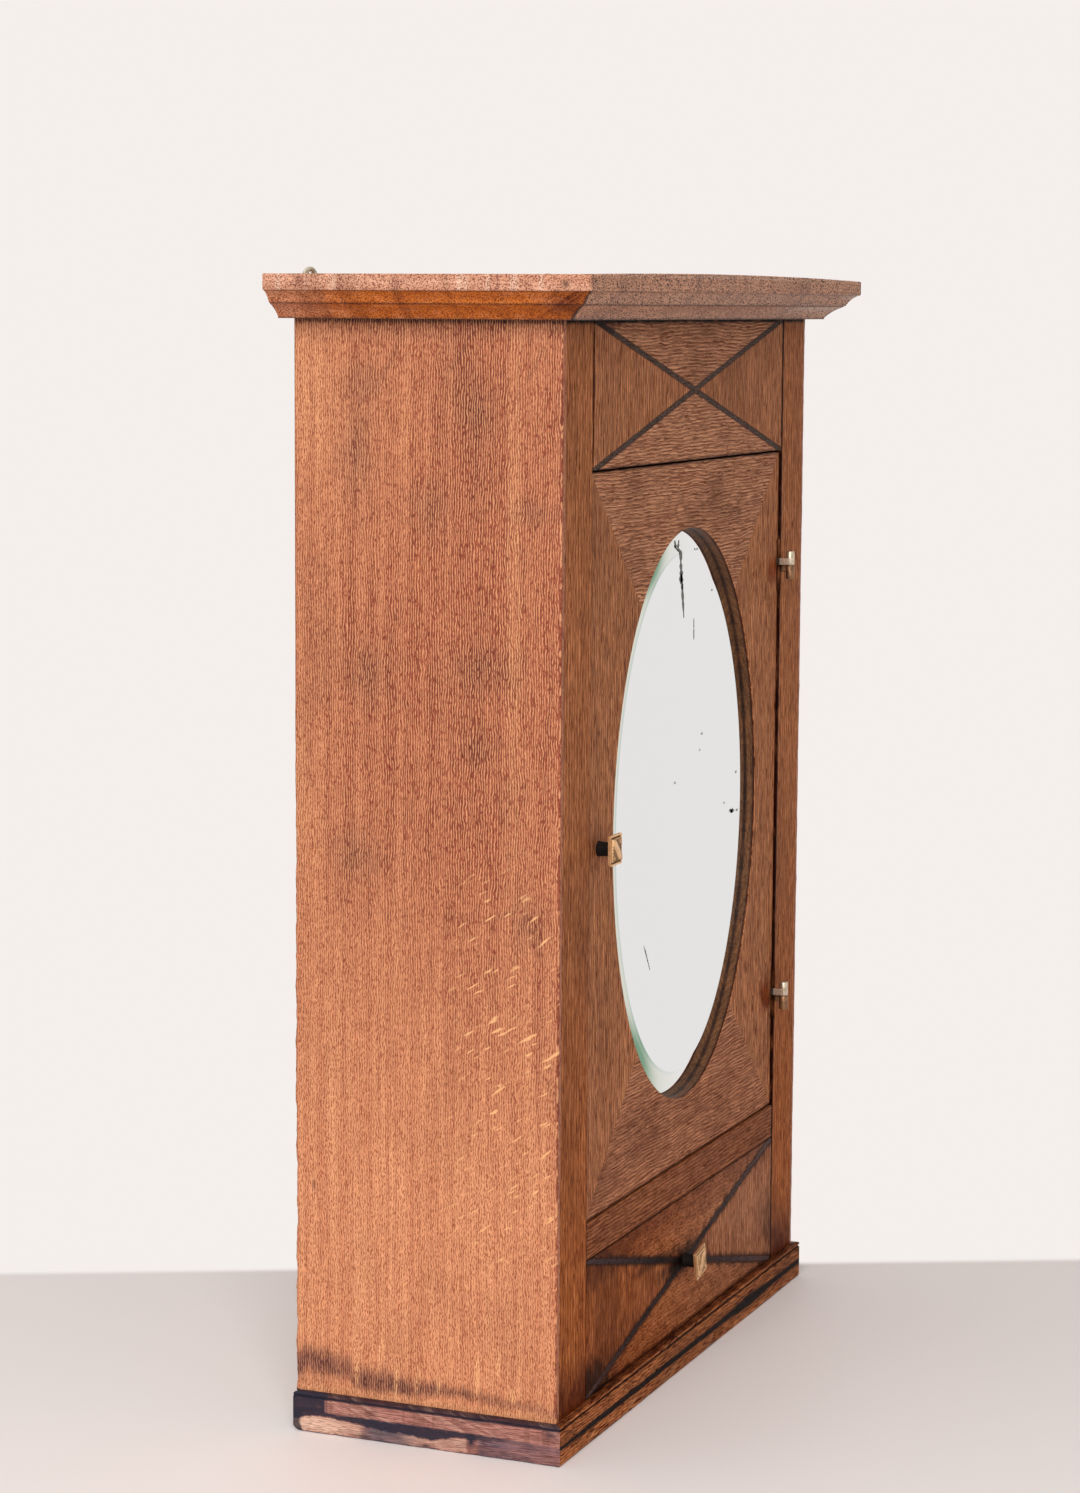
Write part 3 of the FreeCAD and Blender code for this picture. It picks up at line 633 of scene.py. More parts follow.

# %% [markdown]
# ## Old ink, dirt, rust and painted shadow
#
# The dark lines of the drawer and the frieze have bled into the wood beside them, like ink. Pools of ink and
# dirt lie in some places, and near the cornice and beside the frieze some pools are painted shadow as well;
# rust has run from the hinges into the door. The distance from the nearer of two crossing lines is worked out
# inside the material: a line through the middle of a panel with a known slope is as far away as the height
# above it. A pool is round or long: the place is divided by its two radii first, so that the distance from
# its middle is 1 at its edge. A little noise makes the edges uneven.


# %% Ink and pools
def bleed(material, pools, ink_tone, lines=None):
    """Darkens a wood material in pools, and near two lines that cross in the middle of a panel."""
    wood = Finish(material.name, material)
    uneven = wood.noise(wood.place, (7, 20, 16), 4.0, 4.0)
    ink = 0.0
    if lines:
        middle, slope, core, edge, ragged = lines
        sides = wood.sides()
        up = wood.gap(sides["Z"], middle * mm)
        lean = wood.times(wood.math("ABSOLUTE", sides["X"]), slope)
        away = wood.gap(up, lean)
        reach = wood.plus(wood.times(wood.step(uneven, 0.35, 0.8), ragged * mm), edge * mm)
        ink = wood.rest(wood.step(away, core * mm, reach))
    rough_edge = wood.times(wood.math("SUBTRACT", uneven, 0.5), 1.1)
    for centre, radii, strength in pools:
        scaled = wood.vector("MULTIPLY", wood.place, (1 / (radii[0] * mm), 0.0, 1 / (radii[1] * mm)))
        away = wood.vector("DISTANCE", scaled, (centre[0] / radii[0], 0.0, centre[1] / radii[1]))
        pool = wood.rest(wood.step(wood.plus(away, rough_edge), 0.25, 1.0))
        ink = wood.math("MAXIMUM", ink, wood.times(pool, strength))
    colour = wood.shader.inputs["Base Color"].links[0].from_socket
    wood.give("Base Color", wood.mix(wood.times(ink, 0.92), colour, ink_tone, "MULTIPLY"))
    return material


def cross(low, high):
    """The height where the diagonals of a panel meet, and how steep they are."""
    return (low[2] + high[2]) / 2, (high[2] - low[2]) / (high[0] - low[0])


drawer_middle, drawer_slope = cross(drawer_low, drawer_high)
drawer_tones = (tone(228, 158, 115), tone(196, 126, 87), tone(112, 65, 40))
# The first two lines are dirt in the drawer's joints. The others are painted shade: darker and more golden
# towards the left, darker towards the bottom, and a painted shadow of the rail across the top.
drawer_joints_and_shade = [("Z", drawer_low[2], 3.5, 0.8, warm_dirt), ("Z", drawer_high[2], 1.6, 0.5, warm_dirt),
                 ("X", -190, 340, 0.85, tone(228, 190, 128)), ("Z", 20, 60, 0.45, tone(196, 172, 136)),
                 ("Z", 122, 30, 0.7, tone(196, 178, 172))]
drawer_ink = tone(62, 52, 56)
drawer_lines = (drawer_middle, drawer_slope, 1.6, 4.4, 6.0)
knob_ink = [((-14, drawer_middle), (46, 9), 1.0), ((-60, drawer_middle + 14), (60, 5), 0.6)]
drawer_pools = [((-178, 33), (60, 26), 1.0), ((-172, 110), (56, 20), 0.5), ((4, 77), (64, 15), 0.9),
                ((184, 62), (40, 30), 0.4)]
drawer_up = bleed(oak("drawer_up", "z", *drawer_tones, ring=4.6, sway=2.6, rings=0.5, pores=0.9,
                      pore_size=(0.55, 9), shift=27.0, sheen=0.03, grime_and_shade=drawer_joints_and_shade),
                  drawer_pools, drawer_ink, drawer_lines)
drawer_level = bleed(oak("drawer_level", "x", *drawer_tones, ring=3.0, sway=3.0, rings=0.4, pores=0.8,
                         shift=29.0, sheen=0.03, grime_and_shade=drawer_joints_and_shade),
                     drawer_pools, drawer_ink, drawer_lines)
for stained in (drawer_up, drawer_level, stringing_black):
    bleed(stained, knob_ink, tone(52, 42, 42))
frieze_low, frieze_high = span("frieze_stringing")
frieze_middle, frieze_slope = cross(frieze_low, frieze_high)
frieze_lines = (frieze_middle, frieze_slope, 1.8, 2.5, 0.8)
# The pools at the frieze's top left corner are dirt and a painted shadow under the cornice; the thin pool
# along the frieze's left edge is a painted shadow in the gap beside the stile.
frieze_dirt_and_shadow = tone(92, 60, 48)
frieze_corner_dirt_and_shadow = [((-182, carcase_top), (46, 8), 1.0), ((-168, carcase_top - 6), (28, 7), 0.8)]
frieze_edge_shadow = [((frieze_low[0], frieze_middle), (1.4, 64), 1.0)]
bleed(veneer_level, frieze_corner_dirt_and_shadow, frieze_dirt_and_shadow, frieze_lines)
bleed(veneer_up, frieze_edge_shadow, frieze_dirt_and_shadow, frieze_lines)
bleed(stringing_grey, frieze_corner_dirt_and_shadow, frieze_dirt_and_shadow)
rust_pools = [((171, 233), (17, 18), 0.9), ((177, 227), (9, 8), 1.0), ((177, 549), (16, 16), 0.8)]
bleed(veneer_up, rust_pools, tone(172, 106, 38))
print("inked", drawer_up.name, "and", drawer_level.name)

# %% [markdown]
# ## Dressing the flat pieces
#
# Boards, veneers and stringing keep their constructed form. Each gets a material whose grain runs the way
# the wood was cut. The boards also get two modifiers: Weld joins the corners that the file format had split,
# and Bevel takes the sharpness off their edges.

# %% Materials for the constructed pieces
dressing = {
    stile_oak: ["left_stile", "right_stile"],
    rim_oak: ["door_board", "frieze_board"],
    rail_oak: ["middle_rail"],
    veneer_up: ["frieze_veneer_sides", "door_veneer_left", "door_veneer_right"],
    veneer_level: ["frieze_veneer_ends", "door_veneer_top", "door_veneer_bottom"],
    drawer_up: ["drawer_veneer_sides"],
    drawer_level: ["drawer_veneer_ends"],
    stringing_grey: ["frieze_stringing"],
    stringing_black: ["drawer_stringing"],
    inner_oak: ["back_panel", "mirror_backing"],
    inner_oak_level: ["top_board", "bottom_board", "divider_board", "lower_shelf", "upper_shelf",
                      "hanging_rail", "door_stops", "drawer_bottom", "drawer_front", "drawer_back"],
    inner_oak_deep: ["shelf_battens", "glue_blocks", "drawer_left_side", "drawer_right_side",
                     "drawer_guides"],
    plain_brass: ["catch_barrel", "strike_plate", "mirror_tabs", "mirror_tab_screws"],
    dull_steel: ["catch_ball", "left_hanger", "right_hanger", "hanger_screws", "hinge_pins"],
    hinge_nickel: ["hinge_door_leaves", "hinge_door_screws"],
    hinge_brown: ["hinge_frame_leaves", "hinge_frame_screws"],
}
for finish, names in dressing.items():
    for name in names:
        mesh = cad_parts[name].data
        mesh.materials.clear()
        mesh.materials.append(finish)

eased = ["left_stile", "right_stile", "middle_rail", "lower_shelf", "upper_shelf", "shelf_battens",
         "drawer_back", "drawer_left_side", "drawer_right_side", "drawer_guides", "door_stops", "mirror_tabs"]
for name in eased:
    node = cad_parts[name]
    weld = node.modifiers.new("weld", "WELD")
    weld.merge_threshold = 0.01 * mm
    bevel = node.modifiers.new("ease", "BEVEL")
    bevel.width = 0.4 * mm
    bevel.segments = 2
    bevel.limit_method = "ANGLE"
    bevel.angle_limit = math.radians(60)
print("dressed", sum(len(names) for names in dressing.values()), "pieces")

# %% [markdown]
# ## The two sides
#
# Each side is one board, rebated in front for the stile and behind for the back panel. Its outline, seen from
# above, is a polygon with rounded corners, and the board is that outline carried upward through many levels.
# The grid on the outer face is fine enough to carry painted marks: old stains, worn pale streaks, a damp line
# along the foot, and the zone where the small bright flecks of quartered oak show. A dark line under the
# cornice and a dark strip along the front edge are painted shade.


# %% Outline of a side
def eased_outline(corners, radii, steps):
    """A polygon with each corner rounded by a smooth bend and each edge divided into steps."""
    corners = np.array(corners, float)
    following = np.roll(corners, -1, axis=0)
    ahead = following - corners
    ahead /= np.linalg.norm(ahead, axis=1, keepdims=True)
    behind = -np.roll(ahead, 1, axis=0)
    bend = np.linspace(0, 1, 5)[:, None]
    parts = []
    for index, corner in enumerate(corners):
        start = corner + radii[index] * behind[index]
        end = corner + radii[index] * ahead[index]
        parts.append((1 - bend) ** 2 * start + 2 * bend * (1 - bend) * corner + bend ** 2 * end)
        goal = following[index] - radii[(index + 1) % len(radii)] * ahead[index]
        count = max(2, int(np.linalg.norm(goal - end) / steps[index]))
        parts.append(end + np.linspace(0, 1, count + 1)[1:-1, None] * (goal - end))
    return np.concatenate(parts)


def side_board(sign, face_step, level_step):
    """A side's outline carried up, with its front and rear arrises worn by two wobbling curves."""
    lip = stile_low[0]
    inner = side_high[0]
    back_lip, before_back = span("back_panel")[0][:2]
    corners = [(-half_width, front), (-half_width, back), (back_lip, back), (back_lip, before_back),
               (inner, before_back), (inner, behind_front), (lip, behind_front), (lip, front)]
    corner_radii = [1.0, 0.8, 0.3, 0.2, 0.3, 0.2, 0.2, 0.3]
    edge_steps = [face_step] + [8.0] * 7
    outline = eased_outline(corners, corner_radii, edge_steps)
    levels = np.linspace(base_height, carcase_top, int((carcase_top - base_height) / level_step))
    points = np.empty((len(levels), len(outline), 3))
    points[..., :2] = outline
    points[..., 2] = levels[:, None]
    reach = (outline[:, 0] + half_width) ** 2
    near_front = np.exp(-(reach + (outline[:, 1] - front) ** 2) / 1.2)
    near_back = np.exp(-(reach + (outline[:, 1] - back) ** 2) / 2.5)
    dents = 0.25 + 0.25 * wobble(levels, 37, 8)
    knocks = 0.3 + 0.5 * wobble(levels, 60, 9) * smooth(560, 300, levels)
    points[..., 0] += dents[:, None] * near_front + knocks[:, None] * near_back
    points[..., 1] += dents[:, None] * near_front - knocks[:, None] * near_back
    points[..., 0] *= -sign
    return sheet(points, join_columns=True, caps=True)


# %% Marks of the sides
side_stains = [(0.22, (-15, 505), (75, 120)), (-0.25, (62, 665), (42, 80)), (0.18, (-58, 255), (52, 150))]
side_wear = [(0.25, (92, 690), (16, 40)), (0.25, (104, 415), (9, 60)), (0.1, (-48, 600), (5, 150))]
blotches = [((56, 692), (12, 16)), ((61, 647), (12, 30)), ((-22, 675), (14, 20)), ((9, 614), (14, 16)),
            ((-59, 612), (14, 8)), ((54, 506), (16, 18)), ((-26, 513), (26, 18)), ((-23, 463), (14, 14)),
            ((-60, 350), (12, 18)), ((60, 390), (18, 14)), ((-63, 706), (20, 1.4), 116),
            ((-9, 707), (20, 1.5), 122), ((40, 700), (14, 1.5), 118), ((-51, 396), (10, 1.2), 152),
            ((-44, 357), (10, 1.2), 150)]
rear_mark = ((92, 166), (1.4, 4))
foot_line = np.array([(-75, 33), (-58.8, 34.6), (-45.7, 34.7), (-33.8, 36.9), (-0.5, 38.2), (23.7, 36.5),
                      (46.7, 36.5), (63, 38), (67.7, 43.8), (87.5, 44), (99, 48), (103.7, 41)]).T
tongues = [((61, 44), (1.3, 8), 4), ((32.5, 42), (1.2, 9), 6), ((17, 45), (1.4, 9), 8),
           ((2.2, 43), (1, 5), 4), ((-25, 52), (1.4, 12), 3), ((-50, 41), (1.6, 4)),
           ((-40, 60), (1, 8), 5), ((44, 60), (1, 9), 6)]


def paint_side(points):
    """Marks of a side: stains, pale wear, flecks, the damp line, and painted shade at the top and front edge.
    """
    y, z = points[:, 1], points[:, 2]
    outer = smooth(-half_width + 2.5, -half_width + 1.5, -np.abs(points[:, 0]))
    stain = smooth(160, 430, z) * (0.42 + 0.33 * smooth(95, 50, y) + 0.1 * spot(y, z, (0, 590), (60, 190)))
    stain += spots(y, z, side_stains)
    stain = np.clip(stain * (1 + 0.35 * wobble(y + 0.015 * z, 26, 8, 4)), 0, 1.2)
    middle = np.interp(y, *foot_line) + 1.2 * wobble(y, 13, 4, 3)
    reach = 4.0 + 4.5 * smooth(-10, 60, y) + 1.6 * wobble(y, 11, 5, 5)
    flames = smooth(middle + 2 * reach, middle + 0.3 * reach, z) * smooth(middle - 1.2 * reach, middle, z)
    damp = 1.2 * flames * (0.5 + 0.4 * smooth(-75, 40, y)) * (0.85 + 0.2 * wobble(y, 41, 6))
    damp += 0.25 * smooth(60, 100, y) * smooth(60, 40, z) * smooth(base_height + 2, base_height + 5, z)
    damp += 0.42 * sum(spot(y, z, *patch) for patch in blotches) + 0.84 * spot(y, z, *rear_mark)
    damp += 0.22 * smooth(716, 724, z + 2 * wobble(y, 50, 3)) + 0.6 * smooth(104.3, 105.2, y)
    # Painted shadow: a dark line along the top of the side, under the cornice.
    damp += 0.9 * smooth(carcase_top - 3.0, carcase_top - 1.0, z)
    pale = spots(y, z, side_wear)
    swaying = y + 2 * wobble(z, 90, 7, 3)
    pale += 0.36 * sum(spot(swaying, z, (place, 560), (1.3, 230)) for place in (-45.5, -51))
    top_edge = smooth(724, 728, z) * smooth(731, 729, z) * smooth(-40, -70, y)
    pale += 0.3 * top_edge * (0.5 + wobble(y, 4, 6))
    pale += 1.5 * sum(spot(y, z, *patch) for patch in tongues)
    pale += 0.3 * smooth(34, 30, z + wobble(y, 9, 2))
    zone = smooth(400, 350, z) * smooth(110, 150, z) * smooth(10, -25, y)
    zone += 0.3 * spot(y, z, (26, 505), (9, 6))
    # Painted shade: a dark strip along the front edge, where the side meets the stile.
    shade = 0.85 * smooth(front + 1.6, front + 0.4, y)
    return channels(stain * outer + shade, pale * outer, 0.8 * zone * outer, damp * outer)


# %% Build the sides
for word, sign, face_step, rise_step in (("left", -1, 1.3, 1.6), ("right", 1, 4.0, 5.0)):
    make_piece(word + "_side_board", [side_board(sign, face_step, rise_step)], side_oak, "cabinet",
               [word + "_side"], paint_side)

# %% [markdown]
# ## Cornice and base
#
# A moulding is a profile carried along a line. The profile here is a list of pairs: how far a point stands
# out from the carcase, and its height. On the front length a point that stands out further also reaches
# further to each side, and on a side length it starts further forward, so the two lengths meet in a mitre
# without any cutting: the mitre is already in the formula.
#
# Wear is added to the profile before it is carried: a number for each profile point says how much of a knock
# it takes, and a wobbling curve along the length says where the knocks are.


# %% Carrying a profile round the cabinet
def moulding(place, profile, stations, end, knock_share, knock, lift=0.0):
    """One length of a moulding; knocks pull the profile in, and lift is the height of an upward bow."""
    share = np.linspace(0, 1, stations)
    depth = knock(share)[:, None] * knock_share[None, :]
    out = profile[:, 0] - depth * np.sign(profile[:, 0])
    rise = profile[:, 1] - 0.5 * depth * np.sign(profile[:, 1] - np.mean(profile[:, 1]))
    rise = rise + np.sin(np.pi * share)[:, None] ** 0.8 * lift
    points = np.empty((stations, len(profile), 3))
    points[..., 2] = rise
    if place == "front":
        points[..., 0] = (2 * share[:, None] - 1) * (half_width + profile[:, 0])
        points[..., 1] = front - out
    else:
        sign = -1 if place == "left" else 1
        start = front - profile[:, 0]
        points[..., 0] = sign * (half_width + out)
        points[..., 1] = start + share[:, None] * (end - start)
    return sheet(points, join_columns=True, caps=True)


def along_moulding(x, y):
    """The place along a moulding: y on the sides, and in front x, moved on so that no pattern repeats."""
    return np.where(np.abs(x) - half_width > front - y, y, x + 500)


def hollow(centre, radius, start, stop, count=9):
    """Points on an arc, from one angle to another in degrees."""
    angle = np.radians(np.linspace(start, stop, count))
    return [(centre[0] + radius * math.cos(a), centre[1] + radius * math.sin(a)) for a in angle]


def cove(high, low, sag, count=9):
    """A shallow hollow between two points: the straight line, sunk by a parabola."""
    share = np.linspace(0, 1, count)[:, None]
    line = np.array(high) + share * (np.array(low) - np.array(high))
    run, fall = np.array(high) - np.array(low)
    inward = np.array([-fall, run]) / math.hypot(run, fall)
    return [tuple(point) for point in line + 4 * share * (1 - share) * sag * inward]


# %% Profile of the cornice
fascia_height = 10.4
soffit_fillet = 1.4
upper_run = 7.6
upper_fall = 7.8
cove_step = 1.0
cove_drop = 0.6
lower_run = 11.6
lower_fall = 8.2
cove_sag = 0.9
cornice_bed = 24.0
arris = 1.0

fascia_low = cornice_top - fascia_height
upper_out = cornice_overhang - soffit_fillet
upper_in = upper_out - upper_run
upper_low = fascia_low - upper_fall
lower_out = upper_in - cove_step
lower_high = upper_low - cove_drop
foot_out = lower_out - lower_run
foot_high = lower_high - lower_fall
fascia_levels = np.linspace(cornice_top - arris, fascia_low + arris, 10)[1:-1]
cornice_profile = np.array(
    [(-cornice_bed, carcase_top), (-cornice_bed, cornice_top), (cornice_overhang - 6, cornice_top)]
    + hollow((cornice_overhang - arris, cornice_top - arris), arris, 90, 0, 5)
    + [(cornice_overhang, level) for level in fascia_levels]
    + hollow((cornice_overhang - arris, fascia_low + arris), arris, 0, -90, 5)
    + cove((upper_out, fascia_low), (upper_in, upper_low), cove_sag, 12)
    + [(lower_out, upper_low), (lower_out, lower_high)]
    + cove((lower_out, lower_high), (foot_out, foot_high), cove_sag, 12)[1:]
    + [(foot_out, carcase_top)])
edge_out = smooth(cornice_overhang - 2.5, cornice_overhang, cornice_profile[:, 0])
edge_high = smooth(cornice_top - 2.5, cornice_top, cornice_profile[:, 1])
edge_low = smooth(fascia_low + 2.5, fascia_low, cornice_profile[:, 1])
cornice_knocks = edge_out * np.maximum(edge_high, 0.6 * edge_low)
cornice_bow = 0.6 * smooth(upper_low, fascia_low, cornice_profile[:, 1])
cornice_bow += 1.6 * smooth(fascia_low, cornice_top, cornice_profile[:, 1])


def cornice_knock(seed):
    """Small dents all along the edge, and a few deeper chips."""
    return lambda share: (0.12 + 0.16 * wobble(share, 0.11, seed)
                          + 0.7 * smooth(0.62, 0.95, wobble(share, 0.06, seed + 1, 5)))


# %% [markdown]
# The coves on the sides carry a painted orange glow in the first channel, which stands for light bounced from
# the side. The second holds pale worn places on the fascia, a painted sheen on the front coves and two
# painted highlights on their tops at the right end. The third holds painted shade in the inner corners of the
# moulding, a dark mitre and nail marks. The fourth holds dark blots.


# %% Marks of the cornice
# Painted shade in the inner corners of the moulding: under the fascia, at the foot of the upper cove and
# where the cornice meets the carcase.
shaded_corners = [(0.6, (upper_out - 0.2, fascia_low - 0.2), (0.9, 0.6)),
                 (0.6, (upper_in - 0.6, upper_low - 0.2), (1.2, 0.8)),
                 (0.9, (foot_out, carcase_top), (3.0, 0.9))]


def paint_cornice(points):
    """Painted bounce light on the side coves, pale wear, painted sheen and painted shade in the inner
    corners.
    """
    x, y, z = points.T
    beside = np.abs(x) - half_width
    before = front - y
    on_side = smooth(-0.5, 0.5, beside - before)
    out = np.maximum(beside, before)
    run = along_moulding(x, y)
    fascia = smooth(cornice_overhang - 1.2, cornice_overhang - 0.6, out)
    # Painted bounce light: an orange glow on the coves of the sides, for light bounced from the side; the
    # front coves take a little of it.
    orange = (1 - fascia) * (0.12 + 0.88 * on_side) * smooth(-1, 2, out)
    orange *= 1 - 0.5 * on_side * smooth(45, 105, y)
    worn = fascia * smooth(0.35, 0.8, wobble(run, 31, 11, 5)) * (0.05 + 0.3 * on_side)
    worn += 0.5 * smooth(0.8, 0, np.abs(out - cornice_overhang) + np.abs(z - cornice_top))
    # Painted sheen: the front coves are lifted paler, and two painted highlights lie on the cove tops at the
    # right end.
    worn += 0.16 * (1 - fascia) * (1 - on_side)
    worn += 0.6 * (1 - on_side) * (spot(x, z, (215, 739.6), (70, 2.2)) + spot(x, z, (266, 748.4), (30, 2.0)))
    # The inner corners take painted shade; the dark mitre and the nail marks below are dirt.
    dirt = spots(out, z, shaded_corners)
    mitre = np.abs(beside - before)
    dirt += (0.95 - 0.35 * fascia) * smooth(2.2 + 1.2 * wobble(z, 5, 14, 4), 0.4, mitre)
    blot = 0.8 * on_side * spot(y, z, (-92, 741), (14, 7)) * (x < 0)
    blot += 0.3 * smooth(0.2, 0.8, wobble(run, 57, 13))
    streaks = smooth(0.1, 0.7, wobble(run + 2 * z, 11, 15, 4))
    blot += 0.5 * on_side * (1 - fascia) * smooth(-50, -95, y) * streaks
    nails = spot(x, z, (-226, 755), (1.4, 1.2)) + on_side * (x < 0) * spot(y, z, (-95, 754), (2.6, 2.2))
    dirt += 0.8 * nails
    return channels(orange, worn, dirt, blot)


# %% Build the cornice
for word, finish, stations in (("front", cornice_level, 420), ("left", cornice_deep, 200),
                               ("right", cornice_deep, 120)):
    bow = cornice_bow if word == "front" else 0.0
    shell = moulding(word, cornice_profile, stations, rear, cornice_knocks, cornice_knock(len(word) * 7), bow)
    make_piece("cornice_" + word + "_run", [shell], finish, "cabinet", ["cornice_" + word],
               paint_cornice)

# %% [markdown]
# The base is built in the same way. Its lower edge has lost small pieces along the left side, so the knocks
# there are stronger, and its rear end is worn round. Black paint is left in a band along the middle, under
# the bead and in blots; bare pale wood shows in two crisp patches where the foot was rubbed.
# The bead along the top is darkened as painted shade under the carcase, and on the front by dirt and painted
# shade.

# %% Profile of the base
base_face = 23.6
quirk_size = 0.8
bead_height = 2.6
base_overhang = 5.0
base_bed = 34.0
base_arris = 1.5
level_step = 0.75

bead_low = base_face + quirk_size
bead_in = base_overhang - bead_height / 2
base_levels = np.arange(base_arris + level_step, base_face - 0.5, level_step)
base_profile = np.array(
    [(-base_bed, 0.0)] + hollow((base_overhang - base_arris, base_arris), base_arris, -90, 0, 5)
    + [(base_overhang, level) for level in base_levels]
    + [(base_overhang, base_face - 0.4), (base_overhang - 0.4, base_face),
       (base_overhang - quirk_size, base_face), (base_overhang - quirk_size, bead_low)]
    + hollow((bead_in, bead_low + bead_height / 2), bead_height / 2, -90, 90, 9)
    + [(0.0, base_height), (-base_bed, base_height)])
base_edge = smooth(base_overhang - 1.8, base_overhang, base_profile[:, 0])
base_knocks = base_edge * smooth(4.5, 0.5, base_profile[:, 1])
foot_round = 4.0
bead_round = 2.7
end_round = np.zeros(len(base_profile))
for radius, depth in ((foot_round, foot_round - base_profile[:, 1]),
                      (bead_round, base_profile[:, 1] - base_height + bead_round)):
    into = np.clip(depth, 0, radius)
    end_round += radius - np.sqrt(np.clip(radius ** 2 - into ** 2, 0, None))
end_round *= base_profile[:, 0] > 0


def base_knock(strength, seed):
    """A wavy edge with deeper bites; strength is the depth of the bites in millimetres."""
    def depth(share):
        bites = smooth(0.1, 0.8, wobble(share, 0.3, seed + 1)) * smooth(0.05, 0.2, share)
        return 0.2 + 0.15 * wobble(share, 0.14, seed) + strength * bites

    return depth


# %% Marks of the base
bare_edge = np.array([(-90, 11.5), (-27, 11), (-20, 10.5), (-16, 10.8), (6, 6), (24, 7.8), (52, 9),
                      (62, 10.2), (78, 11.8), (92, 11.8), (102, 9.5)]).T
black_blots = [(1.0, (-23.2, 9.2), (2.8, 4.4)), (0.8, (54, 2.3), (5, 1.3)), (0.9, (9, 1.9), (4.5, 1.2)),
               (0.6, (-26, 22.8), (7, 0.9)), (0.75, (-79, 21), (4, 2.6))]


def paint_base(points):
    """Dirt and painted shade, bare wood, black paint and a dull purple polish, in the four channels."""
    x, y, z = points.T
    on_side = np.abs(x) - half_width > front - y
    left = (on_side & (x < 0)).astype(float)
    ahead = 1.0 - on_side
    run = along_moulding(x, y)
    ragged = wobble(run, 17, 21, 6)
    fibre = wobble(z + 0.03 * run, 2.6, 27, 3)
    edge = np.interp(y, *bare_edge) + 0.6 * ragged
    seam = 14.6 - 1.6 * smooth(-20, -85, y) + 0.3 * ragged
    above = smooth(seam - 0.5, seam + 0.5, z)
    below = smooth(edge + 0.4, edge - 0.4, z)
    scuffs = smooth(0.5, 1.1, wobble(run + 6 * z, 31, 28, 6))
    scuffs += smooth(0.6, 1.0, wobble(z + 0.05 * run, 1.3, 29, 3))
    black = left * smooth(edge - 0.6, edge + 0.6, z) * (1 - above) * (0.3 + 0.67 * smooth(-70, -10, y))
    black += left * above * smooth(80, 83, y + 1.5 * ragged) * (0.97 + 0.03 * fibre)
    black *= 1 - 0.09 * scuffs
    black += 0.9 * left * (1 - above) * smooth(99.5, 101.5, y + 0.3 * np.abs(z - 7) + 0.6 * ragged)
    black += 0.8 * left * smooth(1.0, 0.3, z + 0.3 * ragged)
    black += left * spots(y, z, black_blots)
    centre = 12.2 + 0.4 * ragged
    half = 1.0 + 0.8 * smooth(-235, -180, x) + 1.6 * spot(x, z, (125, 12), (30, 9))
    black += 1.2 * ahead * smooth(half + 1.4, half - 0.6, np.abs(z - centre)) * (0.95 + 0.08 * ragged)
    black += 0.95 * ahead * spot(x, z, (128, 12), (34, 6))
    quirk = smooth(base_face - 0.3, base_face, z) * smooth(bead_low + 1.0, bead_low + 0.2, z)
    black += quirk * (0.75 * left + 0.85 * ahead) + 0.55 * left * smooth(base_face, bead_low, z)
    black += 0.4 * ahead * smooth(0.4, 0.9, wobble(run + 3 * z, 29, 22, 5)) * smooth(14, 16, z)
    patches = 0.9 * (0.55 + 0.45 * smooth(62, 80, y)) * smooth(52, 58, y + ragged) * smooth(0.4, 1.2, z)
    middle_patch = smooth(-20.6, -19.4, y - 0.5 * ragged) * smooth(30, 14, y + 2 * ragged)
    patches += 0.42 * middle_patch * smooth(0.6, 1.8, z + ragged)
    patches += 0.12 * smooth(56, 48, y) * smooth(10, 30, y)
    bare = left * below * patches * (0.85 + 0.3 * fibre)
    bare += 0.28 * left * above * smooth(0.1, 0.9, wobble(run - 2 * z, 23, 24, 5)) * smooth(84, 78, y)
    bare += 0.3 * ahead * smooth(0.5, 0.9, wobble(run - 2 * z, 19, 24, 5)) * smooth(9, 7, z)
    # Painted shade: the bead along the top of the left side is darkened, under the side board.
    dirt = 0.95 * left * smooth(base_face - 1.0, base_face + 1.2, z)
    dirt += 0.4 * left * spot(y, z, (54, 19), (8, 7))
    dirt += 0.3 * left * above * smooth(0.2, 0.8, wobble(run, 22, 25, 3)) + 0.15 * ahead
    # Dirt and painted shade: a dark line along the top of the front's bead, under the drawer.
    dirt += 0.6 * ahead * smooth(base_height - 0.8, base_height, z)
    purple = left * (1 - above) * (smooth(60, 46, y) * smooth(6, 34, y) + 0.6 * smooth(-26, -30, y))
    purple *= 0.55 + 0.45 * smooth(-90, -50, y)
    return channels(dirt, bare, black, purple * (0.9 + 0.3 * fibre))


# %% Build the base
for word, finish, stations, bite in (("front", base_level, 360, 0.3), ("left", base_deep, 320, 1.2),
                                     ("right", base_deep, 120, 0.5)):
    shell = moulding(word, base_profile, stations, back - end_round, base_knocks,
                     base_knock(bite, len(word) * 5))
    make_piece("base_" + word + "_run", [shell], finish, "cabinet", ["base_" + word], paint_base)

# %% [markdown]
# ## The mirror
#
# The glass is an oval plate whose face falls away to a thin edge in a wide bevel. An oval is a circle with
# two different radii, so the whole plate is one grid: each row is an oval ring with its own width, height and
# depth, from the middle of the face, over the bevel and the edge, to the middle of the back. The ring where
# the flat face meets the bevel is kept sharp, because that thin line is what makes a bevelled mirror
# recognisable.
#
# Old glass looks a little green where one looks into its cut edge. That tint is painted on the bevel only,
# and along the left the bevel also carries a painted cream reflection.

# %% Build the mirror
mirror_low, mirror_high = span("mirror_glass")
mirror_centre = (mirror_low + mirror_high) / 2
rebate_edge = 7.0
bevel_start = 0.5
bevel_width = 18.0
glass_edge = 2.5

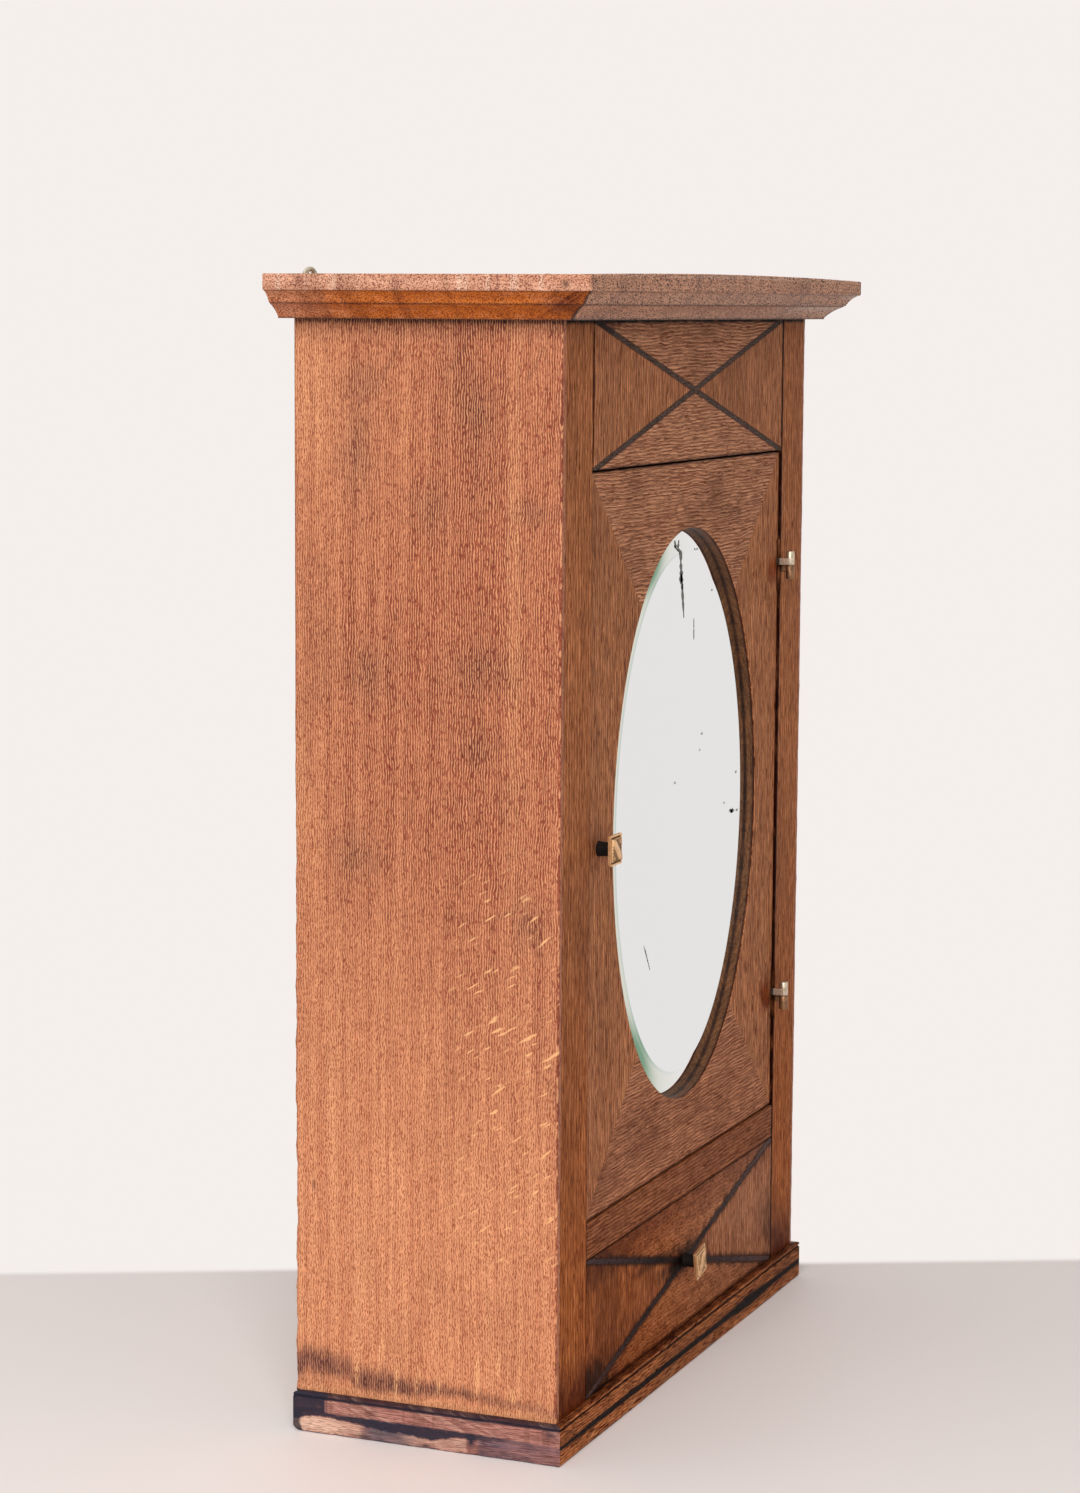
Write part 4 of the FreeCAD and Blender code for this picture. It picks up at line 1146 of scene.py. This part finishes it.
glass_half = (mirror_high - mirror_low)[[0, 2]] / 2
opening_edge = glass_half - rebate_edge
bevel_rear = mirror_high[1] - glass_edge
face_edge = opening_edge - bevel_start - bevel_width
rings = [(*(face_edge * share), mirror_low[1]) for share in (0.0, 0.3, 0.6, 0.85, 0.97, 1.0)]
rings += [(*(face_edge + bevel_width * share), mirror_low[1] + share * (bevel_rear - mirror_low[1]))
          for share in (0.02, 0.06, 0.1, 0.14, 0.2, 0.3, 0.45, 0.6, 0.8, 1.0)]
rings += [(*glass_half, bevel_rear), (*glass_half, mirror_high[1]), (0.0, 0.0, mirror_high[1])]
ring_width, ring_height, ring_depth = np.array(rings).T[:, :, None]
turn = np.linspace(0, 2 * np.pi, 320, endpoint=False)
mirror_points = np.empty((len(rings), len(turn), 3))
mirror_points[..., 0] = mirror_centre[0] + ring_width * np.cos(turn)
mirror_points[..., 1] = ring_depth
mirror_points[..., 2] = mirror_centre[2] + ring_height * np.sin(turn)


def paint_mirror(points):
    """Left bevel: green, then a painted cream reflection; above and below, two greener places."""
    x, y, z = points.T
    share = (y - mirror_low[1]) / (bevel_rear - mirror_low[1])
    bevel = smooth(0.0, 0.02, share)
    left = smooth(20, -60, x)
    green = 0.3 * left * smooth(0.14, 0.1, share)
    green += spots(x, z, [(1.2, (-56, 563), (24, 6), 35), (1.2, (-76, 236), (40, 9), -46)])
    # Painted reflection: the cream along the left bevel.
    cream = 0.9 * left * smooth(0.08, 0.14, share)
    return channels(bevel * green, bevel * cream)


make_piece("mirror_plate", [sheet(mirror_points, join_columns=True)], silver.material, "door",
           ["mirror_glass"], paint_mirror, sharp=4.0)

# %% [markdown]
# The silver behind the glass has gone in a few places. Each lost place is a tiny dark patch lying on the
# face: the specks are ragged little discs, and the scratches are thin ribbons along a short list of points.


# %% Flaws of the mirror
film_face = mirror_low[1] - 0.03


def ragged_disc(x, z, wide, tall, seed):
    """A small patch with an uneven outline, a hair in front of the glass; wide and tall are its radii."""
    angle = np.linspace(0, 2 * np.pi, 18, endpoint=False)
    reach = 1 + 0.35 * wobble(angle, 2.1, seed)
    points = np.empty((2, len(angle), 3))
    points[0] = (x, film_face, z)
    points[1, :, 0] = x + wide * reach * np.cos(angle)
    points[1, :, 1] = film_face
    points[1, :, 2] = z + tall * reach * np.sin(angle)
    return sheet(points, join_columns=True)


def scratch(line, width, seed):
    """A thin ribbon along a line of points, its width wobbling and fading to nothing at the ends."""
    line = np.array(line, float)
    share = np.linspace(0, len(line) - 1, 40)
    x = np.interp(share, np.arange(len(line)), line[:, 0])
    z = np.interp(share, np.arange(len(line)), line[:, 1])
    fade = np.sin(np.pi * np.linspace(0.03, 0.97, len(share))) ** 0.4
    reach = width / 2 * (1 + 0.6 * wobble(share, 0.4, seed)) * fade
    points = np.empty((len(share), 2, 3))
    points[:, 0, 0] = x - reach
    points[:, 1, 0] = x + reach
    points[..., 1] = film_face
    points[..., 2] = z[:, None]
    return sheet(points)


specks = [(26, 574, 1.9, 0.8), (57.9, 543.2, 1.8, 0.8), (40.7, 443, 2.2, 0.9), (37, 432.1, 1.6, 0.7),
          (-13, 414.9, 2, 0.9), (114.3, 407.1, 2.2, 0.9), (89.1, 387.7, 1.8, 0.8), (117.6, 378.9, 2.4, 1.0),
          (106.7, 379.6, 4.5, 2.0), (103, 380.6, 3, 1.2)]
flakes = [(106.2, 379.6, 3, 1.3), (-5.4, 556, 3.2, 3.4), (-2.6, 549.5, 2.4, 2.2)]
speck_shells = [ragged_disc(*place, seed) for seed, place in enumerate(specks)]
make_piece("mirror_specks", speck_shells, faded_silver, "door", [])
flaw_shells = [ragged_disc(*place, seed) for seed, place in enumerate(flakes)]
flaw_shells.append(scratch([(-10.4, 582.4), (-12.2, 577), (-6.2, 573.9), (-5.9, 565), (-3.6, 554.5),
                            (-1.1, 540.6), (1.3, 527.9)], 4.8, 31))
flaw_shells.append(scratch([(21.5, 526.3), (22, 510.9)], 1.9, 32))
flaw_shells.append(scratch([(-70.2, 310.5), (-64, 301), (-58.2, 291.8)], 1.7, 33))
make_piece("mirror_flaws", flaw_shells, lost_silver, "door", [])

# %% [markdown]
# ## The knobs
#
# A knob head is a pressed brass square. Its face is a height field: for each place on the square the height
# is a sum of simple parts. A rim runs round the outside, then a groove and a thin border; a plain rounded
# band crosses from corner to corner, with ribs on both sides of it and a small ring near two corners. The
# lowest places are painted dark, as old polish collects there. The drawer's knob has worked loose, so its
# head is turned a little.


# %% Height of a knob's face
band_half = 3.1
rib_crest = 3.9
rib_pitch = 1.5
boss_place = 5.2
boss_radius = 1.05


def knob_height(u, v):
    """Height of the pressed pattern and how deep each place lies, for u and v in millimetres."""
    edge = np.maximum(np.abs(u), np.abs(v))
    across = np.abs(u + v) / math.sqrt(2)
    inside = smooth(7.5, 6.9, edge)
    groove = smooth(7.4, 7.8, edge) * smooth(8.8, 8.4, edge)
    border = smooth(6.6, 6.9, edge) * smooth(7.7, 7.4, edge)
    dome = 0.75 * (1 - (u * u + v * v) / 200)
    band = np.sqrt(np.clip(1 - (across / band_half) ** 2, 0, 1))
    ribs = smooth(band_half, band_half + 0.4, across)
    rib_wave = np.cos(2 * np.pi * (across - rib_crest) / rib_pitch)
    ring = np.hypot(np.abs(u) - boss_place, np.abs(v) - boss_place) + 9 * (u * v < 0)
    boss = np.exp(-((ring - boss_radius) / 0.4) ** 2)
    hole = np.exp(-(ring / 0.55) ** 2)
    height = 1.8 - 0.7 * groove + 0.35 * border
    height += inside * (dome + 0.95 * band + ribs * (0.12 + 0.22 * rib_wave) + 0.45 * boss - 0.5 * hole)
    low = groove + inside * (ribs * smooth(0.5, -0.4, rib_wave) * (1 - boss) + hole)
    low += inside * smooth(0.55, 0.1, np.abs(across - 3.2)) * 0.8
    low += 0.5 * smooth(0.4, 0.1, np.abs(edge - 6.75))
    low = np.maximum(low, inside * ribs * (1 - boss) * 0.5)
    return height, np.clip(low, 0, 1) * 0.97


def knob_head(node, lean, turn):
    """The height field as a closed shell; lean -1 turns the pattern by a quarter, turn the whole head."""
    low, high = span(node)
    centre = (low + high) / 2
    half = (high - low)[0] / 2
    corner = 0.8
    line = np.concatenate([[-half], np.linspace(-half, half, 121), [half]])
    u, v = np.meshgrid(line, line, indexing="ij")
    height, depth = knob_height(u * lean, v)
    core_u = np.clip(u, corner - half, half - corner)
    core_v = np.clip(v, corner - half, half - corner)
    reach = np.maximum(np.hypot(u - core_u, v - core_v), corner) / corner
    points = np.empty((*u.shape, 3))
    across = core_u + (u - core_u) / reach
    up = core_v + (v - core_v) / reach
    points[..., 0] = centre[0] + across * math.cos(turn) - up * math.sin(turn)
    points[..., 1] = high[1] - height
    points[..., 2] = centre[2] + across * math.sin(turn) + up * math.cos(turn)
    points[[0, -1], :, 1] = high[1]
    points[:, [0, -1], 1] = high[1]
    shell_points, faces = sheet(points)
    index = np.arange(u.size).reshape(u.shape)
    ring = np.concatenate([index[0], index[1:, -1], index[-1, -2::-1], index[-2:0:-1, 0]])
    faces.append(ring[::-1].tolist())
    return (shell_points, faces), depth.reshape(-1)


# %% Build the knobs
for name, lean, turn, body, face in (("door_knob", 1, 0, "door", door_face),
                                     ("drawer_knob", -1, 12, "drawer", front)):
    shell, depth = knob_head(name + "_head", lean, math.radians(turn))
    make_piece(name + "_brass", [shell], knob_brass, body, [name + "_head"],
               lambda points, depth=depth: channels(depth), sharp=40)
    low, high = span(name + "_stem")
    centre = (low + high) / 2
    seat = span(name + "_head")[1][1]
    rise = np.linspace(face, seat, 25)
    share = (rise - face) / (seat - face)
    spool = 4.6 + 0.6 * np.abs(2 * share - 1) ** 3
    outline = [(0, high[1]), (2, high[1]), (2, face), *zip(spool, rise), (0, seat)]
    make_piece(name + "_spool", [turned(outline, (centre[0], 0, centre[2]), 1)], knob_black, body,
               [name + "_stem"])

# %% [markdown]
# ## Hinges
#
# The two hinges lift apart: one leaf with its knuckle belongs to the door and the other to the frame. A leaf
# is a thin plate let into the edge of the wood, a neck that comes forward, and a turned knuckle at the end of
# the neck. The knuckle's outline has small rounded shoulders.

# %% Build the hinges
pin_low, pin_high = span("hinge_pins")
hinge_x = (pin_low[0] + pin_high[0]) / 2
hinge_y = (pin_low[1] + pin_high[1]) / 2
leaf_half = 19.0
plate_thickness = 1.2
knuckle_radius = 3.2
knuckle_height = 10.2
knuckle_gap = 0.2
neck_height = 5.0
shoulder = 0.5


def knuckle(level, rise):
    """A turned barrel above (rise 1) or below (rise -1) the joint of a hinge."""
    low, high = sorted((level + rise * knuckle_gap, level + rise * knuckle_height))
    inner = knuckle_radius - shoulder
    outline = [(0, low), (inner, low), (inner + 0.35, low + 0.15), (knuckle_radius, low + shoulder),
               (knuckle_radius, high - shoulder), (inner + 0.35, high - 0.15), (inner, high), (0, high)]
    return turned(outline, (hinge_x, hinge_y, 0), 2)


def paint_hinge(points):
    """The plates and the necks, up to the knuckles, painted dark."""
    darkened = smooth(hinge_y + 6.0, hinge_y + 7.5, points[:, 1])
    return channels(0.97 * darkened)


for word, rise, finish, body, face in (("door", 1, hinge_nickel, "door", door_face),
                                       ("frame", -1, hinge_brown, "cabinet", front)):
    low, high = span("hinge_" + word + "_leaves")
    plate_x = (low[0], low[0] + plate_thickness) if word == "door" else (high[0] - plate_thickness, high[0])
    shells = []
    for level in (low[2] + leaf_half, high[2] - leaf_half):
        neck = sorted((level + rise * knuckle_gap, level + rise * (knuckle_gap + neck_height)))
        shells += eased_block((plate_x[0], face, level - leaf_half),
                              (plate_x[1], high[1], level + leaf_half), 0.2)
        shells += eased_block((plate_x[0], hinge_y, neck[0]), (plate_x[1], face + 1, neck[1]), 0.25, 1.0)
        shells.append(knuckle(level, rise))
    make_piece("hinge_" + word + "_pair", shells, finish, body, ["hinge_" + word + "_leaves"],
               paint_hinge)

# %% [markdown]
# ## Hangers
#
# Each hanger is a steel plate with a round top and a hole. Seen from the hole, every point of the outline
# lies in its own direction, so the plate can be made of rings that lead from the hole's edge to the outline:
# once over the front and once over the back.


# %% Build the hangers
def hanger(node, hole_radius=4.0, hole_drop=6.8, ease=0.3):
    """A plate with one round end and a hole, as rings between the hole and the outline."""
    low, high = span(node)
    middle = (low[0] + high[0]) / 2
    radius = (high[0] - low[0]) / 2
    hole = (middle, high[2] - hole_drop)
    arc = np.radians(np.linspace(0, 180, 49))
    side_run = np.linspace(0, 1, 14)[1:, None]
    foot_left, foot_right = np.array([low[0], low[2]]), np.array([high[0], low[2]])
    top = np.stack([middle + radius * np.cos(arc), high[2] - radius + radius * np.sin(arc)], axis=1)
    outline = np.concatenate([top, top[-1] + side_run * (foot_left - top[-1]),
                              foot_left + side_run * (foot_right - foot_left),
                              foot_right + side_run[:-1] * (top[0] - foot_right)])
    angle = np.arctan2(outline[:, 1] - hole[1], outline[:, 0] - hole[0])
    rim = np.array(hole) + hole_radius * np.stack([np.cos(angle), np.sin(angle)], axis=1)
    outward = (outline - rim) / np.linalg.norm(outline - rim, axis=1, keepdims=True)
    rows = [(rim, low[1] + ease), (rim + ease * outward, low[1]), (outline - ease * outward, low[1]),
            (outline, low[1] + ease), (outline, high[1] - ease), (outline - ease * outward, high[1]),
            (rim + ease * outward, high[1]), (rim, high[1] - ease), (rim, low[1] + ease)]
    points = np.empty((len(rows), len(outline), 3))
    points[..., [0, 2]] = [row[0] for row in rows]
    points[..., 1] = np.array([row[1] for row in rows])[:, None]
    return sheet(points, join_columns=True)


for word in ("left", "right"):
    make_piece(word + "_hanger_plate", [hanger(word + "_hanger")], dull_steel, "cabinet", [word + "_hanger"],
               sharp=50)

# %% [markdown]
# ## Table, light and camera
#
# The cabinet stands on a pale table top in front of a pale room. The table is a plain slab; beyond a slightly
# slanting line behind the cabinet it takes the tone of the room, and that line is the edge the camera sees. A
# large soft light on the left gives the side its glow and leaves the front in quieter light. The world is
# bright for the camera and for reflections, and gentler as a light, so that the mirror shows a pale room
# while the wood keeps its modelling.

# %% Table
view_turn = math.radians(67.53)
ahead = np.array([math.sin(view_turn), math.cos(view_turn)])
aside = np.array([math.cos(view_turn), -math.sin(view_turn)])
room_tone = tone(245, 239, 236)
room_start = 0.215
room_slope = 0.07
room_blend = 0.008
table_far = 0.284
table_near = -1.3
table_half = 1.25
table_thickness = 0.03
table_ends = [(table_far, -table_half), (table_far, table_half),
              (table_near, table_half), (table_near, -table_half)]
table_corners = np.array([far * ahead + wide * aside for far, wide in table_ends])
table_points = [(x, y, z) for z in (0.0, -table_thickness) for x, y in table_corners]
table_faces = [(3, 2, 1, 0), (4, 5, 6, 7), (0, 1, 5, 4), (1, 2, 6, 5), (2, 3, 7, 6), (3, 0, 4, 7)]
table_mesh = bpy.data.meshes.new("table")
table_mesh.from_pydata(table_points, [], table_faces)
paper = Finish("table_paint")
paper.give("Roughness", 0.6)
grey = paper.noise(paper.place, (400, 400, 400), 1.0, 3.0)
paper.give("Base Color", paper.mix(grey, tone(243, 235, 232), tone(247, 239, 236)))
room_side = ahead - room_slope * aside
beyond = paper.vector("DOT_PRODUCT", paper.place, (room_side[0], room_side[1], 0.0))
beyond = paper.step(beyond, room_start - room_blend, room_start + room_blend)
glow = paper.add("ShaderNodeEmission")
glow.inputs["Color"].default_value = room_tone
joined = paper.add("ShaderNodeMixShader")
paper.feed(joined.inputs["Fac"], beyond)
paper.feed(joined.inputs[1], paper.shader.outputs[0])
paper.feed(joined.inputs[2], glow.outputs[0])
paper.feed(paper.tree.nodes["Material Output"].inputs["Surface"], joined.outputs[0])
table_mesh.materials.append(paper.material)
table = new_object("table", table_mesh)

# %% Light
world = bpy.data.worlds.new("room")
bpy.context.scene.world = world
world.use_nodes = True
tree = world.node_tree
seen = tree.nodes["Background"]
seen.inputs["Color"].default_value = room_tone
seen.inputs["Strength"].default_value = 1.0
lit = tree.nodes.new("ShaderNodeBackground")
lit.inputs["Color"].default_value = tone(250, 246, 243)
lit.inputs["Strength"].default_value = 0.3
path = tree.nodes.new("ShaderNodeLightPath")
either = tree.nodes.new("ShaderNodeMath")
either.operation = "MAXIMUM"
tree.links.new(path.outputs["Is Camera Ray"], either.inputs[0])
tree.links.new(path.outputs["Is Glossy Ray"], either.inputs[1])
chosen = tree.nodes.new("ShaderNodeMixShader")
tree.links.new(either.outputs[0], chosen.inputs["Fac"])
tree.links.new(lit.outputs[0], chosen.inputs[1])
tree.links.new(seen.outputs[0], chosen.inputs[2])
tree.links.new(chosen.outputs[0], tree.nodes["World Output"].inputs["Surface"])


def soft_light(name, place, target, size, power):
    """A square area light that faces a target."""
    lamp = bpy.data.lights.new(name, "AREA")
    lamp.size = size
    lamp.energy = power
    holder = new_object(name, lamp)
    holder.location = place
    holder.rotation_euler = (Vector(target) - Vector(place)).to_track_quat("-Z", "Y").to_euler()


soft_light("window", (-2.6, -0.7, 1.7), (-0.2, 0.0, 0.4), 1.8, 74)
soft_light("ceiling", (-0.3, 0.4, 2.8), (0.0, 0.0, 0.2), 2.2, 16)

# %% Camera
lens_length = 83.85
camera_place = (-2.2441, -0.8959, 0.7410)
pitch = math.radians(7.23)
roll = math.radians(0.35)
forward = Vector((*(math.cos(pitch) * ahead), -math.sin(pitch)))
level_right = Vector((*aside, 0.0))
level_up = level_right.cross(forward)
right = math.cos(roll) * level_right + math.sin(roll) * level_up
up = math.cos(roll) * level_up - math.sin(roll) * level_right
camera = new_object("camera", bpy.data.cameras.new("camera"))
camera.data.lens = lens_length
facing = Matrix((right, up, -forward)).transposed().to_4x4()
camera.matrix_world = Matrix.Translation(camera_place) @ facing
bpy.context.scene.camera = camera
bpy.context.scene.view_settings.view_transform = "Standard"
